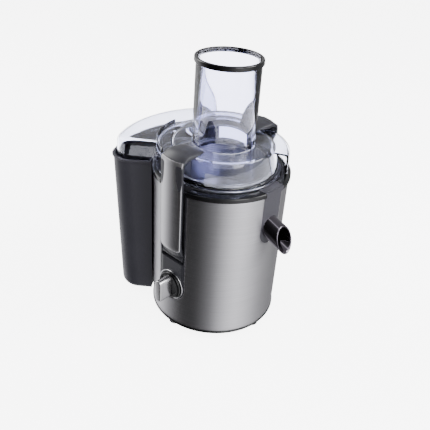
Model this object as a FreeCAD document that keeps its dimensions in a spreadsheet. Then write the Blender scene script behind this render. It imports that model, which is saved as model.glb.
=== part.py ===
import FreeCAD, Part
import Sketcher
import math
import os

# Centrifugal juicer. Millimetres, +Z up. The origin is on the drive axis, on the surface the feet stand on.
# +X points along the juice spout, -X to the pulp container, -Y to the clamp that has the speed knob below it.

doc = FreeCAD.newDocument("juicer")
sheet = doc.addObject("Spreadsheet::Sheet", "Dims")

SIZES = [
    # drum
    ("drum_radius", 88.8), ("wrap_gauge", 1.2), ("wrap_low", 12.0), ("wrap_top", 218.6), ("skin_gap", 0.3),
    ("shell_wall", 2.5), ("board_post_radius", 3.0), ("trim_low", 8.0),
    # clamp channels and spout slot
    ("slot_half", 23.0), ("channel_wall", 2.0), ("knob_height", 72.0),
    # base
    ("base_low", 9.0), ("base_thick", 3.0), ("recess_top", 20.0), ("hub_radius", 38.5), ("hub_bore", 36.0),
    ("flange_radius", 60.0), ("flange_low", 6.0), ("flange_top", 8.0), ("vent_length", 15.0),
    ("vent_width", 4.0), ("vent_circle", 53.0), ("foot_radius", 8.5), ("foot_plug", 3.0),
    ("screw_radius", 1.9), ("screw_head", 3.6), ("boss_radius", 5.0), ("boss_top", 30.0),
    ("gland_circle", 46.0), ("gland_radius", 6.0), ("gland_flange", 8.5), ("cord_bore", 3.4),
    # juice collector and spout
    ("bowl_wall", 2.5), ("spout_radius", 14.5), ("spout_drop", 20.0), ("mouth_tilt", 20.0),
    ("spout_fit", 0.05), ("spout_back", 60.0), ("spout_run", 82.0), ("neck_wall", 1.7),
    # lid and feed tube
    ("lid_wall", 2.4), ("shroud_start", 25.0), ("shroud_end", 257.0), ("outlet_half", 27.0),
    ("tube_bore", 37.5), ("tube_draft", 0.8), ("tube_fit", 0.05),
    # pulp container and its cover
    ("bin_half_angle", 43.5), ("bin_low", 4.0), ("bin_wall", 2.5), ("bin_corner", 26.0),
    ("bin_low_round", 12.0), ("bin_rim_flare", 2.0), ("bin_rim_height", 3.5), ("bin_hook_half", 14.0),
    ("hook_gauge", 1.8), ("bead_radius", 1.1), ("cover_gap", 1.3), ("cover_round", 9.0), ("cover_drop", 4.0),
    # clamps
    ("face_gauge", 1.3), ("arm_bow", 45.0), ("barrel_radius", 5.0), ("pin_radius", 2.0), ("pin_fit", 0.05),
    ("pad_length", 13.0),
    # interlock
    ("plunger_radius", 2.2), ("plunger_length", 17.0),
    # speed knob
    ("dial_thick", 5.0), ("bezel_thick", 2.0), ("grip_half", 5.5), ("grip_length", 34.0),
    ("spindle_radius", 3.0),
    # motor
    ("shaft_radius", 4.0), ("bearing_width", 7.0), ("bracket_radius", 50.0), ("bracket_thick", 4.0),
    ("core_radius", 42.0), ("core_flat", 35.0), ("core_bore", 24.5), ("air_gap", 0.5),
    ("rotor_slot_width", 2.4), ("rotor_slot_depth", 8.0), ("coil_inner", 25.6), ("coil_outer", 31.4),
    ("coil_half", 19.0), ("pole_half", 12.0), ("coil_head", 6.0), ("spacer_bore", 38.5),
    ("winding_bore", 9.0), ("winding_radius", 21.0), ("commutator_radius", 13.0), ("brush_half", 3.5),
    ("brush_height", 7.0), ("brush_length", 14.0), ("holder_wall", 1.2), ("holder_end", 35.0),
    ("fan_radius", 33.0), ("fan_hub", 9.0), ("blade_gauge", 1.6), ("stay_circle", 46.0),
    ("stay_radius", 2.0), ("mount_radius", 6.0),
    # coupling, sieve and grating disc
    ("spline_radius", 1.6), ("sieve_floor_thick", 3.0), ("mesh_gauge", 0.6),
    ("rib_angle", 2.4), ("rib_depth", 2.4), ("rib_gap", 0.1), ("grater_gauge", 1.2),
    ("fit_gap", 0.2),
    # electrics
    ("board_gauge", 1.6), ("board_half", 25.0), ("board_low", 58.0), ("board_high", 112.0),
    ("cap_depth", 12.0), ("cap_half", 10.0), ("cap_low", 70.0), ("cap_high", 88.0), ("switch_half", 13.0),
    ("switch_depth", 16.0), ("micro_depth", 14.0), ("micro_half", 6.0),
]

# Sizes that keep a set distance from another one: name, the size it follows, and how far it lies beyond it.
TIED = [
    # what follows the drum's radius
    ("collar_bore", "drum_radius", -11.0), ("collar_radius", "drum_radius", 2.2),
    ("trim_radius", "drum_radius", 0.8), ("channel_back", "drum_radius", -9.3),
    ("hinge_pocket_back", "drum_radius", -16.8), ("panel_face", "drum_radius", -2.3),
    ("foot_circle", "drum_radius", -11.3), ("screw_circle", "drum_radius", -8.8),
    ("recess_radius", "drum_radius", -20.8), ("board_face", "drum_radius", -18.8),
    ("bowl_radius", "drum_radius", -11.8), ("bowl_foot", "drum_radius", -16.8),
    ("spout_reach", "drum_radius", 24.2), ("lid_flat_radius", "drum_radius", -22.8),
    ("lid_rim_radius", "drum_radius", -15.4), ("lid_flange_radius", "drum_radius", -11.3),
    ("shroud_radius", "drum_radius", -2.8), ("bin_back", "drum_radius", 3.2),
    ("bin_outer_top", "drum_radius", 59.2), ("bin_outer_low", "drum_radius", 53.2),
    ("bin_hook_tip", "drum_radius", -1.8), ("arm_face", "drum_radius", 6.0),
    ("arm_inner", "drum_radius", -1.3), ("pivot_out", "drum_radius", -6.8),
    ("plunger_tip", "drum_radius", -5.8), ("grip_reach", "drum_radius", 23.2),
    ("spindle_end", "drum_radius", -24.8), ("mesh_rim_radius", "drum_radius", -23.8),
    ("sieve_rim_radius", "drum_radius", -20.5),
    # what follows the top of the drum's wrap
    ("collar_top", "wrap_top", 6.6), ("collar_edge_top", "wrap_top", 6.4), ("deck_top", "wrap_top", -73.6),
    ("deck_low", "wrap_top", -76.6), ("chimney_top", "wrap_top", -50.6),
    ("channel_floor", "wrap_top", -106.6), ("hinge_pocket_low", "wrap_top", -112.6),
    ("hinge_pocket_top", "wrap_top", -78.6), ("spout_slot_low", "wrap_top", -54.6),
    ("bowl_top", "wrap_top", 7.4), ("bowl_floor_outer", "wrap_top", -58.6),
    ("bowl_floor_inner", "wrap_top", -55.6), ("bowl_collar_top", "wrap_top", -47.6),
    ("spout_mouth_height", "wrap_top", -56.6), ("neck_top", "wrap_top", -24.6),
    ("lid_top", "wrap_top", 41.4), ("lid_flange_low", "wrap_top", 7.7), ("lid_flange_top", "wrap_top", 9.4),
    ("lid_spigot_low", "wrap_top", 3.9), ("shroud_low", "wrap_top", 7.4), ("shroud_top", "wrap_top", 37.4),
    ("outlet_low", "wrap_top", 13.4), ("outlet_top", "wrap_top", 28.4), ("cover_low", "wrap_top", 0.9),
    ("cover_top", "wrap_top", 31.4), ("tube_low", "wrap_top", -24.6), ("tube_top", "wrap_top", 146.4),
    ("bin_top", "wrap_top", 5.4), ("arm_low", "wrap_top", -85.6), ("face_top", "wrap_top", 43.4),
    ("hook_under", "wrap_top", 42.9), ("hook_crest", "wrap_top", 53.4), ("pad_low", "wrap_top", 41.7),
    ("pivot_height", "wrap_top", -97.6), ("plunger_height", "wrap_top", -85.6),
    ("sieve_floor", "wrap_top", -36.6), ("sieve_hub_low", "wrap_top", -48.6),
    ("sieve_rim_low", "wrap_top", 7.4), ("sieve_rim_top", "wrap_top", 12.4),
    ("coupling_top", "wrap_top", -41.6), ("coupling_low", "wrap_top", -69.6),
    # what follows the deck that the motor hangs from
    ("mount_top", "deck_low", -8.0), ("seal_low", "deck_low", 1.0), ("seal_top", "deck_low", 5.0),
    ("upper_bracket", "deck_low", -20.0), ("upper_bearing", "deck_low", -22.5),
    ("lower_bracket", "deck_low", -106.0), ("lower_bearing", "deck_low", -111.0),
    ("core_low", "deck_low", -82.0), ("core_high", "deck_low", -47.0),
    ("commutator_low", "deck_low", -38.0), ("commutator_high", "deck_low", -24.0),
    ("fan_low", "deck_low", -99.0), ("fan_high", "deck_low", -89.0), ("shaft_low", "deck_low", -116.0),
    ("shaft_top", "deck_low", 26.0),
    # what follows the feed tube
    ("tube_radius", "tube_bore", 2.5), ("ring_bore", "tube_bore", 0.7),
    ("sieve_floor_radius", "tube_bore", 0.5), ("grater_radius", "tube_bore", -1.5),
    ("ring_radius", "tube_radius", 2.2), ("hook_tip", "tube_radius", 7.0),
    ("ring_low", "tube_top", -3.8), ("ring_top", "tube_top", 2.6),
    # what follows the clamp slots and the spout
    ("arm_half", "slot_half", -4.5), ("bezel_radius", "slot_half", -1.1),
    ("hook_tip_half", "arm_half", -7.5),
    ("pad_half", "hook_tip_half", -2.0),
    ("dial_radius", "bezel_radius", -2.4),
    ("spout_bore", "spout_radius", -1.5), ("spout_slot_half", "spout_radius", 2.5),
    ("bearing_radius", "shaft_radius", 7.0), ("coupling_radius", "shaft_radius", 10.0),
    ("sieve_hub_bore", "coupling_radius", 0.3), ("bowl_bore", "coupling_radius", 6.0),
    ("chimney_bore", "coupling_radius", 2.0), ("sieve_hub_radius", "coupling_radius", 5.0),
    ("chimney_radius", "chimney_bore", 2.5),
]


class Size:
    """A length or angle: the sheet expression that drives it, and its present value."""

    def __init__(self, text, value):
        self.text = text
        self.value = value

    def joined(self, sign, other, value):
        text = other.text if isinstance(other, Size) else repr(float(other))
        return Size("(" + self.text + " " + sign + " " + text + ")", value)

    def __add__(self, other):
        return self.joined("+", other, self.value + number(other))

    def __sub__(self, other):
        return self.joined("-", other, self.value - number(other))

    def __mul__(self, other):
        return self.joined("*", other, self.value * number(other))

    def __truediv__(self, other):
        return self.joined("/", other, self.value / number(other))

    def __neg__(self):
        return Size("(0 - " + self.text + ")", -self.value)


def number(size):
    return size.value if isinstance(size, Size) else float(size)


class Dims:
    """Holds one Size for each row of the sheet, under the row's own name."""


d = Dims()
for row, (alias, value) in enumerate(SIZES, start=1):
    sheet.set("A" + str(row), alias)
    sheet.set("B" + str(row), str(value))
    sheet.setAlias("B" + str(row), alias)
    setattr(d, alias, Size("Dims." + alias, value))
for row, (name, base, step) in enumerate(TIED, start=len(SIZES) + 1):
    alias = name + "_step"
    sheet.set("A" + str(row), alias)
    sheet.set("B" + str(row), str(step))
    sheet.setAlias("B" + str(row), alias)
    setattr(d, name, getattr(d, base) + Size("Dims." + alias, step))
doc.recompute()

nodes = []


def drive(obj, prop, size):
    """Bind one property of an object to the sheet."""
    if isinstance(size, Size):
        obj.setExpression(prop, size.text)
    elif "." in prop:
        obj.setExpression(prop, repr(float(size)))
    else:
        setattr(obj, prop, size)


def put(obj, x=0.0, y=0.0, z=0.0, axis=None, angle=0.0):
    """Place an object at sheet-driven coordinates, turned about one axis by a driven angle in degrees."""
    if axis is not None:
        obj.Placement = FreeCAD.Placement(FreeCAD.Vector(), FreeCAD.Rotation(FreeCAD.Vector(*axis), number(angle)))
        if isinstance(angle, Size):
            obj.setExpression("Placement.Rotation.Angle", angle.text)
    for name, size in (("x", x), ("y", y), ("z", z)):
        if isinstance(size, Size) or size != 0.0:
            drive(obj, "Placement.Base." + name, size)
    return obj


def node(obj, label):
    """Record an object as one sub-part under its own name."""
    obj.Label = label
    nodes.append(obj)
    return obj


def plane(body, role):
    return next(f for f in body.Origin.OriginFeatures if f.Role == role)


def outline(sketch, points):
    """Closed polygon whose corners are held to the sketch origin by driven distances."""
    count = len(points)
    corners = [FreeCAD.Vector(number(px), number(py), 0) for px, py in points]
    for i in range(count):
        sketch.addGeometry(Part.LineSegment(corners[i], corners[(i + 1) % count]), False)
    for i in range(count):
        sketch.addConstraint(Sketcher.Constraint("Coincident", i, 2, (i + 1) % count, 1))
    for i, (px, py) in enumerate(points):
        for kind, size, datum_axis in (("DistanceX", px, -2), ("DistanceY", py, -1)):
            if number(size) == 0.0:
                sketch.addConstraint(Sketcher.Constraint("PointOnObject", i, 1, datum_axis))
                continue
            spot = sketch.addConstraint(Sketcher.Constraint(kind, -1, 1, i, 1, number(size)))
            if isinstance(size, Size):
                sketch.setExpression("Constraints[" + str(spot) + "]", size.text)


def sketch_on(body, role, points, name):
    sketch = body.newObject("Sketcher::SketchObject", name)
    sketch.AttachmentSupport = [(plane(body, role), "")]
    sketch.MapMode = "FlatFace"
    outline(sketch, points)
    return sketch


def turned(name, points, angle=None):
    """Body of revolution about Z from a radius/height outline; a partial turn is centred on +X."""
    body = doc.addObject("PartDesign::Body", name)
    sketch = sketch_on(body, "XZ_Plane", points, name + "_outline")
    turn = body.newObject("PartDesign::Revolution", name + "_turn")
    turn.Profile = sketch
    turn.ReferenceAxis = (sketch, ["V_Axis"])
    turn.Angle = 360.0 if angle is None else number(angle)
    if angle is not None:
        turn.Midplane = True
        drive(turn, "Angle", angle)
    sketch.Visibility = False
    return body


def box(name, x0, x1, y0, y1, z0, z1):
    """Box between driven faces."""
    obj = doc.addObject("Part::Box", name)
    for prop, low, high in (("Length", x0, x1), ("Width", y0, y1), ("Height", z0, z1)):
        drive(obj, prop, -low + high if isinstance(low, Size) else high - low)
    return put(obj, x0, y0, z0)


def rod(name, radius, length, x=0.0, y=0.0, z=0.0, axis=None, angle=0.0):
    """Cylinder along Z, or turned about an axis."""
    obj = doc.addObject("Part::Cylinder", name)
    drive(obj, "Radius", radius)
    drive(obj, "Height", length)
    return put(obj, x, y, z, axis, angle)


def joined(name, parts):
    obj = doc.addObject("Part::MultiFuse", name)
    obj.Shapes = parts
    return obj


def group(name, parts):
    obj = doc.addObject("Part::Compound", name)
    obj.Links = parts
    return obj


def cut(name, base, tool):
    obj = doc.addObject("Part::Cut", name)
    obj.Base = base
    obj.Tool = tool
    return obj


def common(name, parts):
    obj = doc.addObject("Part::MultiCommon", name)
    obj.Shapes = parts
    return obj


def shaped(label, shape):
    """Sub-part whose surface is worked out directly from the sheet values."""
    obj = doc.addObject("Part::Feature", label)
    obj.Shape = shape
    return node(obj, label)


def polar_rods(name, circle, radius, low, length, angles):
    """Upright cylinders on a circle, at the given angles in degrees."""
    rods = []
    for i, degrees in enumerate(angles):
        ca = round(math.cos(math.radians(degrees)), 6)
        sa = round(math.sin(math.radians(degrees)), 6)
        rods.append(rod(name + str(i), radius, length, circle * ca, circle * sa, low))
    return rods


SIDES = (("near", -1.0), ("far", 1.0))
QUARTERS = (0.0, 90.0, 180.0, 270.0)
DIAGONALS = (45.0, 135.0, 225.0, 315.0)
REACH = 12.0      # how far cutting tools run past the faces they cut

# ---------------------------------------------------------------- drum
shell_radius = d.drum_radius - d.wrap_gauge - d.skin_gap
shell_bore = shell_radius - d.shell_wall
base_top = d.base_low + d.base_thick


def slot_tool(name, half, side, inner, low):
    """U-shaped cutting tool through the drum side, open at the top; side -1 is -Y, +1 is +Y."""
    y0, y1 = (-(d.drum_radius + REACH), -inner) if side < 0 else (inner, d.drum_radius + REACH)
    upper = box(name + "_upper", -half, half, y0, y1, low, d.collar_top + REACH)
    lower = rod(name + "_round", half, d.drum_radius + REACH - inner, 0.0, y1, low, (1, 0, 0), 90.0)
    return joined(name, [upper, lower])


def spout_slot_tool(name, half, inner, outer):
    upper = box(name + "_upper", inner, outer, -half, half, d.spout_slot_low, d.collar_top + REACH)
    lower = rod(name + "_round", half, outer - inner, inner, 0.0, d.spout_slot_low, (0, 1, 0), 90.0)
    return joined(name, [upper, lower])


def drum_openings(name, inner, spout_inner=None):
    """The two clamp slots and the spout slot, cut outwards from their inner distances."""
    tools = [slot_tool(name + "_" + side, d.slot_half, sign, inner, d.knob_height) for side, sign in SIDES]
    start = inner if spout_inner is None else spout_inner
    tools.append(spout_slot_tool(name + "_spout", d.spout_slot_half, start, d.drum_radius + REACH))
    return joined(name, tools)


wrap_sheet = turned("wrap_sheet", [
    (d.drum_radius - d.wrap_gauge, d.wrap_low), (d.drum_radius, d.wrap_low),
    (d.drum_radius, d.wrap_top), (d.drum_radius - d.wrap_gauge, d.wrap_top)])
node(cut("drum_wrap", wrap_sheet, drum_openings("wrap_cut", d.channel_back)), "drum_wrap")

shell = turned("shell", [
    (shell_bore, base_top), (shell_radius, base_top), (shell_radius, d.wrap_top), (shell_bore, d.wrap_top),
    (shell_bore, d.deck_top), (d.chimney_radius, d.deck_top), (d.chimney_radius, d.chimney_top),
    (d.chimney_bore, d.chimney_top), (d.chimney_bore, d.deck_low), (shell_bore, d.deck_low)])
mount_bosses = polar_rods("mount_boss", d.stay_circle, d.mount_radius, d.mount_top, d.deck_low - d.mount_top + 1.0,
                          DIAGONALS)
screw_bosses = polar_rods("screw_boss", d.screw_circle, d.boss_radius, base_top, d.boss_top - base_top, DIAGONALS)
screw_holes = polar_rods("screw_hole", d.screw_circle, d.screw_radius, d.base_low - 2.0, d.boss_top - d.base_low,
                         DIAGONALS)
stay_holes = polar_rods("stay_hole", d.stay_circle, d.stay_radius, d.mount_top - 2.0, 7.0, DIAGONALS)
board_posts = []
post_start = shell_bore - 1.0
for i, (py, pz) in enumerate(((-0.8, 0.15), (0.8, 0.15), (-0.8, 0.85), (0.8, 0.85))):
    board_posts.append(rod("board_post" + str(i), d.board_post_radius, post_start - d.board_face,
                           -post_start, d.board_half * py,
                           d.board_low + (d.board_high - d.board_low) * pz, (0, 1, 0), 90.0))
shell_full = joined("shell_full", [shell] + mount_bosses + screw_bosses + board_posts)
shell_less = joined("shell_less", [drum_openings("shell_cut", d.channel_back - 0.2)] + screw_holes + stay_holes)
pocket_half = d.slot_half + d.skin_gap
pocket_tools = [
    box("pocket_near", -pocket_half, pocket_half, -(d.drum_radius + REACH), -(d.hinge_pocket_back - 0.2),
        d.hinge_pocket_low - 0.2, d.hinge_pocket_top + 0.2),
    box("pocket_far", -pocket_half, pocket_half, d.hinge_pocket_back - 0.2, d.drum_radius + REACH,
        d.hinge_pocket_low - 0.2, d.hinge_pocket_top + 0.2)]
shell_tools = joined("shell_tools", [shell_less] + pocket_tools)
node(cut("drum_housing", shell_full, shell_tools), "drum_housing")

collar_ring = turned("collar_ring", [
    (d.collar_bore, d.wrap_top), (d.collar_radius, d.wrap_top), (d.collar_radius, d.collar_edge_top - 1.2),
    (d.collar_radius - 1.6, d.collar_edge_top), (d.collar_bore, d.collar_top)])
node(cut("top_collar", collar_ring, drum_openings("collar_cut", d.channel_back, d.collar_bore - 2.0)),
     "top_collar")

node(turned("base_trim", [
    (shell_radius - 0.4, d.trim_low), (d.trim_radius, d.trim_low), (d.trim_radius, d.wrap_low),
    (shell_radius - 0.4, d.wrap_low)]), "base_trim")

# ---------------------------------------------------------------- base
base_disc = doc.addObject("PartDesign::Body", "base_disc")
base_sketch = sketch_on(base_disc, "XZ_Plane", [
    (0.0, d.recess_top), (d.hub_bore, d.recess_top), (d.hub_bore, d.flange_low), (d.flange_radius, d.flange_low),
    (d.flange_radius, d.flange_top), (d.hub_radius, d.flange_top), (d.hub_radius, d.recess_top),
    (d.recess_radius, d.recess_top), (d.recess_radius, d.base_low), (shell_radius - 0.5, d.base_low),
    (shell_radius - 0.5, base_top), (d.recess_radius + d.base_thick, base_top),
    (d.recess_radius + d.base_thick, d.recess_top + d.base_thick), (0.0, d.recess_top + d.base_thick)],
    "base_outline")
base_turn = base_disc.newObject("PartDesign::Revolution", "base_turn")
base_turn.Profile = base_sketch
base_turn.ReferenceAxis = (base_sketch, ["V_Axis"])
base_turn.Angle = 360.0
vent_half = d.vent_length / 2.0
vent_side = d.vent_width / 2.0
vent_sketch = sketch_on(base_disc, "XY_Plane", [
    (d.vent_circle - vent_half, vent_side * 0.5), (d.vent_circle + vent_half, vent_side * 0.5),
    (d.vent_circle + vent_half, vent_side * 2.5), (d.vent_circle - vent_half, vent_side * 2.5)], "vent_outline")
vent_sketch.AttachmentOffset = FreeCAD.Placement(FreeCAD.Vector(0, 0, 30), FreeCAD.Rotation())
vent_sketch.setExpression("AttachmentOffset.Base.z", (d.recess_top + d.base_thick + 1.0).text)
vent = base_disc.newObject("PartDesign::Pocket", "vent")
vent.Profile = vent_sketch
vent.Length = 8.0
doc.recompute()
vent_pattern = base_disc.newObject("PartDesign::PolarPattern", "vent_pattern")
vent_pattern.Originals = [vent]
vent_pattern.Axis = (base_sketch, ["V_Axis"])
vent_pattern.Angle = 360.0
vent_pattern.Occurrences = 16
base_disc.Tip = vent_pattern
base_holes = polar_rods("base_hole", d.screw_circle, d.screw_radius, d.base_low - 1.0, d.base_thick + 2.0, DIAGONALS)
foot_holes = polar_rods("foot_hole", d.foot_circle, d.foot_plug, d.base_low - 1.0, d.base_thick + 2.0, QUARTERS)
gland_hole = rod("gland_hole", d.gland_radius, 12.0, 0.0, d.gland_circle, d.recess_top - 4.0)
node(cut("base_plate", base_disc, joined("base_less", base_holes + foot_holes + [gland_hole])), "base_plate")

for label, degrees in (("foot_front", 0.0), ("foot_far", 90.0), ("foot_back", 180.0), ("foot_near", 270.0)):
    foot = turned(label, [
        (0.0, 0.0), (d.foot_radius - 0.8, 0.0), (d.foot_radius, 0.8), (d.foot_radius, d.base_low),
        (d.foot_plug - d.fit_gap / 4.0, d.base_low), (d.foot_plug - d.fit_gap / 4.0, base_top), (0.0, base_top)])
    put(foot, d.foot_circle * round(math.cos(math.radians(degrees)), 6),
        d.foot_circle * round(math.sin(math.radians(degrees)), 6))
    node(foot, label)

screws = []
for i, degrees in enumerate(DIAGONALS):
    screw = turned("base_screw" + str(i), [
        (0.0, d.base_low - 1.6), (d.screw_head - 0.6, d.base_low - 1.6), (d.screw_head, d.base_low - 1.0),
        (d.screw_head, d.base_low), (d.screw_radius, d.base_low), (d.screw_radius, d.boss_top - 4.0),
        (0.0, d.boss_top - 4.0)])
    put(screw, d.screw_circle * round(math.cos(math.radians(degrees)), 6),
        d.screw_circle * round(math.sin(math.radians(degrees)), 6))
    screws.append(screw)
node(group("base_screws", screws), "base_screws")

gland = turned("cord_gland", [
    (d.cord_bore, d.recess_top - 3.0), (d.gland_radius, d.recess_top - 3.0),
    (d.gland_radius, d.recess_top + d.base_thick), (d.gland_flange, d.recess_top + d.base_thick),
    (d.gland_flange, d.recess_top + d.base_thick + 2.0), (d.cord_bore, d.recess_top + d.base_thick + 2.0)])
put(gland, 0.0, d.gland_circle)
node(gland, "cord_gland")

# ---------------------------------------------------------------- clamp channels
pin_length = d.slot_half * 2.0 - 0.4


def channel(side, sign):
    """Moulded liner of one drum slot: side walls, floor and a deeper pocket for the clamp's hinge."""
    gap = d.skin_gap
    wide = d.slot_half - gap
    inner = wide - d.channel_wall

    def across(a, b):
        return (-b, -a) if sign < 0 else (a, b)

    y0, y1 = across(d.channel_back, d.drum_radius + 2.0)
    upper = box("liner_upper_" + side, -wide, wide, y0, y1, d.knob_height, d.wrap_top)
    lower = rod("liner_round_" + side, wide, d.drum_radius + 2.0 - d.channel_back, 0.0, y1, d.knob_height,
                (1, 0, 0), 90.0)
    y0, y1 = across(d.hinge_pocket_back, d.channel_back + 2.0)
    pocket = box("liner_pocket_" + side, -wide, wide, y0, y1, d.hinge_pocket_low, d.hinge_pocket_top)
    block = joined("liner_block_" + side, [upper, lower, pocket])
    drum = rod("liner_drum_" + side, d.drum_radius - 0.6, d.wrap_top)
    y0, y1 = across(0.0, d.panel_face)
    flat = box("liner_flat_" + side, -wide, wide, y0, y1, 0.0, d.wrap_top)
    body = common("liner_body_" + side, [block, drum, flat])
    y0, y1 = across(d.channel_back + d.channel_wall, d.drum_radius + REACH)
    hollow = box("liner_hollow_" + side, -inner, inner, y0, y1, d.channel_floor, d.wrap_top + REACH)
    y0, y1 = across(d.hinge_pocket_back + d.channel_wall, d.drum_radius + REACH)
    deep = box("liner_deep_" + side, -inner, inner, y0, y1, d.channel_floor,
               d.hinge_pocket_top - d.channel_wall)
    pin_hole = rod("liner_pin_hole_" + side, d.pin_radius, d.slot_half * 2.0, -d.slot_half, d.pivot_out * sign,
                   d.pivot_height, (0, 1, 0), 90.0)
    tools = [hollow, deep, pin_hole]
    y0, y1 = across(d.hinge_pocket_back - 4.0, d.drum_radius)
    if side == "near":
        tools.append(rod("liner_spindle_hole", d.spindle_radius + d.fit_gap, 30.0, 0.0, y1, d.knob_height,
                         (1, 0, 0), 90.0))
        hole_start = d.plunger_tip - d.plunger_length + 2.0
        tools.append(rod("liner_plunger_hole", d.plunger_radius + d.pin_fit, d.drum_radius - hole_start, 0.0,
                         -hole_start, d.plunger_height, (1, 0, 0), 90.0))
    return node(cut("channel_" + side, body, joined("liner_less_" + side, tools)), "channel_" + side)


for side, sign in SIDES:
    channel(side, sign)
    pin = rod("hinge_pin_" + side, d.pin_radius, pin_length, -(pin_length / 2.0), d.pivot_out * sign,
              d.pivot_height, (0, 1, 0), 90.0)
    node(pin, "hinge_pin_" + side)

# ---------------------------------------------------------------- clamps


def arm_profile(face, crest, inset):
    """Side view of a clamp arm in distance-from-axis and height, with the hook over the lid."""
    arm_in = d.arm_inner.value
    pts = {
        "foot_in": (arm_in, d.arm_low.value + 13.0), "neck_in": (arm_in, d.hook_under.value - 5.0),
        "under_out": (arm_in - 4.0, d.hook_under.value),
        "under_tip": (d.hook_tip.value, d.hook_under.value),
        "nose": (d.hook_tip.value + inset, d.hook_under.value + 2.5),
        "nose_mid": (d.hook_tip.value + 12.0, crest - 2.6), "crest": (arm_in - 9.5, crest),
        "shoulder_mid": (face - 4.6, crest - 6.4), "shoulder": (face, d.hook_crest.value - 22.0),
        "foot_out": (face, d.arm_low.value), "foot_mid": (face - 4.6, d.arm_low.value - 7.5)}
    v = {key: FreeCAD.Vector(0.0, a, b) for key, (a, b) in pts.items()}
    barrel_out = FreeCAD.Vector(0.0, d.pivot_out.value + 3.0, d.pivot_height.value - 3.0)
    barrel_in = FreeCAD.Vector(0.0, d.pivot_out.value - 3.2, d.pivot_height.value + 3.0)
    waist = FreeCAD.Vector(0.0, arm_in - 3.4, d.arm_low.value - 2.0)
    edges = [
        Part.LineSegment(barrel_in, waist), Part.LineSegment(waist, v["foot_in"]),
        Part.LineSegment(v["foot_in"], v["neck_in"]),
        Part.LineSegment(v["neck_in"], v["under_out"]), Part.LineSegment(v["under_out"], v["under_tip"]),
        Part.LineSegment(v["under_tip"], v["nose"]), Part.Arc(v["nose"], v["nose_mid"], v["crest"]),
        Part.Arc(v["crest"], v["shoulder_mid"], v["shoulder"]), Part.LineSegment(v["shoulder"], v["foot_out"]),
        Part.Arc(v["foot_out"], v["foot_mid"], barrel_out), Part.LineSegment(barrel_out, barrel_in)]
    return Part.Face(Part.Wire([e.toShape() for e in edges]))


def arm_solid(face, inset, bow):
    """Arm side view run across its width, then trimmed to a bowed outer face and a narrowing hook."""
    half = d.arm_half.value - inset
    profile = arm_profile(face, d.hook_crest.value - inset, inset)
    profile.translate(FreeCAD.Vector(-half, 0, 0))
    bar = profile.extrude(FreeCAD.Vector(2.0 * half, 0, 0))
    tip_half = d.hook_tip_half.value - inset
    sag = bow - math.sqrt(bow * bow - half * half)
    tip_out = d.hook_tip.value - 1.0
    bend_out = d.arm_inner.value - 13.5
    left_tip = FreeCAD.Vector(-tip_half, tip_out, 0)
    left_bend = FreeCAD.Vector(-half, bend_out, 0)
    left_out = FreeCAD.Vector(-half, face - sag, 0)
    out = FreeCAD.Vector(0, face, 0)
    right_out = FreeCAD.Vector(half, face - sag, 0)
    right_bend = FreeCAD.Vector(half, bend_out, 0)
    right_tip = FreeCAD.Vector(tip_half, tip_out, 0)
    tip = FreeCAD.Vector(0, d.hook_tip.value - 3.5, 0)
    left_side = FreeCAD.Vector(-(half + tip_half) / 2.0 - 1.2, (tip_out + bend_out) / 2.0 + 1.0, 0)
    right_side = FreeCAD.Vector((half + tip_half) / 2.0 + 1.2, (tip_out + bend_out) / 2.0 + 1.0, 0)
    plan = Part.Wire([e.toShape() for e in (
        Part.Arc(left_tip, left_side, left_bend), Part.LineSegment(left_bend, left_out),
        Part.Arc(left_out, out, right_out), Part.LineSegment(right_out, right_bend),
        Part.Arc(right_bend, right_side, right_tip), Part.Arc(right_tip, tip, left_tip))])
    return bar.common(Part.Face(plan).extrude(FreeCAD.Vector(0, 0, d.hook_crest.value + REACH)))


whole_arm = arm_solid(d.arm_face.value, 0.0, d.arm_bow.value)
core_arm = arm_solid(d.arm_face.value - d.face_gauge.value, 0.0, d.arm_bow.value)
face_zone = Part.makeBox(4.0 * d.arm_half.value, 40, d.face_top.value - d.arm_low.value,
                         FreeCAD.Vector(-2.0 * d.arm_half.value, d.arm_inner.value - 7.5, d.arm_low.value))
face_sheet = whole_arm.cut(core_arm).common(face_zone)
along_x = FreeCAD.Vector(1, 0, 0)
barrel_start = FreeCAD.Vector(-d.arm_half.value, d.pivot_out.value, d.pivot_height.value)
barrel = Part.makeCylinder(d.barrel_radius.value, 2.0 * d.arm_half.value, barrel_start, along_x)
pin_bore = Part.makeCylinder(d.pin_radius.value + d.pin_fit.value, 2.0 * d.arm_half.value + 4.0,
                             barrel_start - along_x * 2.0, along_x)
pad_start = d.hook_tip.value + 4.0
pad_depth = d.hook_under.value - d.pad_low.value
pad = Part.makeBox(2.0 * d.pad_half.value, d.pad_length.value, pad_depth + 1.0,
                   FreeCAD.Vector(-d.pad_half.value, pad_start, d.pad_low.value))
arm = whole_arm.cut(face_sheet).fuse(barrel).cut(pin_bore).cut(pad)
mirror_y = FreeCAD.Vector(0, 1, 0)
for side, sign in SIDES:
    for label, shape in (("clamp_arm_", arm), ("clamp_face_", face_sheet), ("clamp_pad_", pad)):
        placed = shape if sign > 0 else shape.mirror(FreeCAD.Vector(), mirror_y)
        shaped(label + side, placed.removeSplitter())

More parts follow.
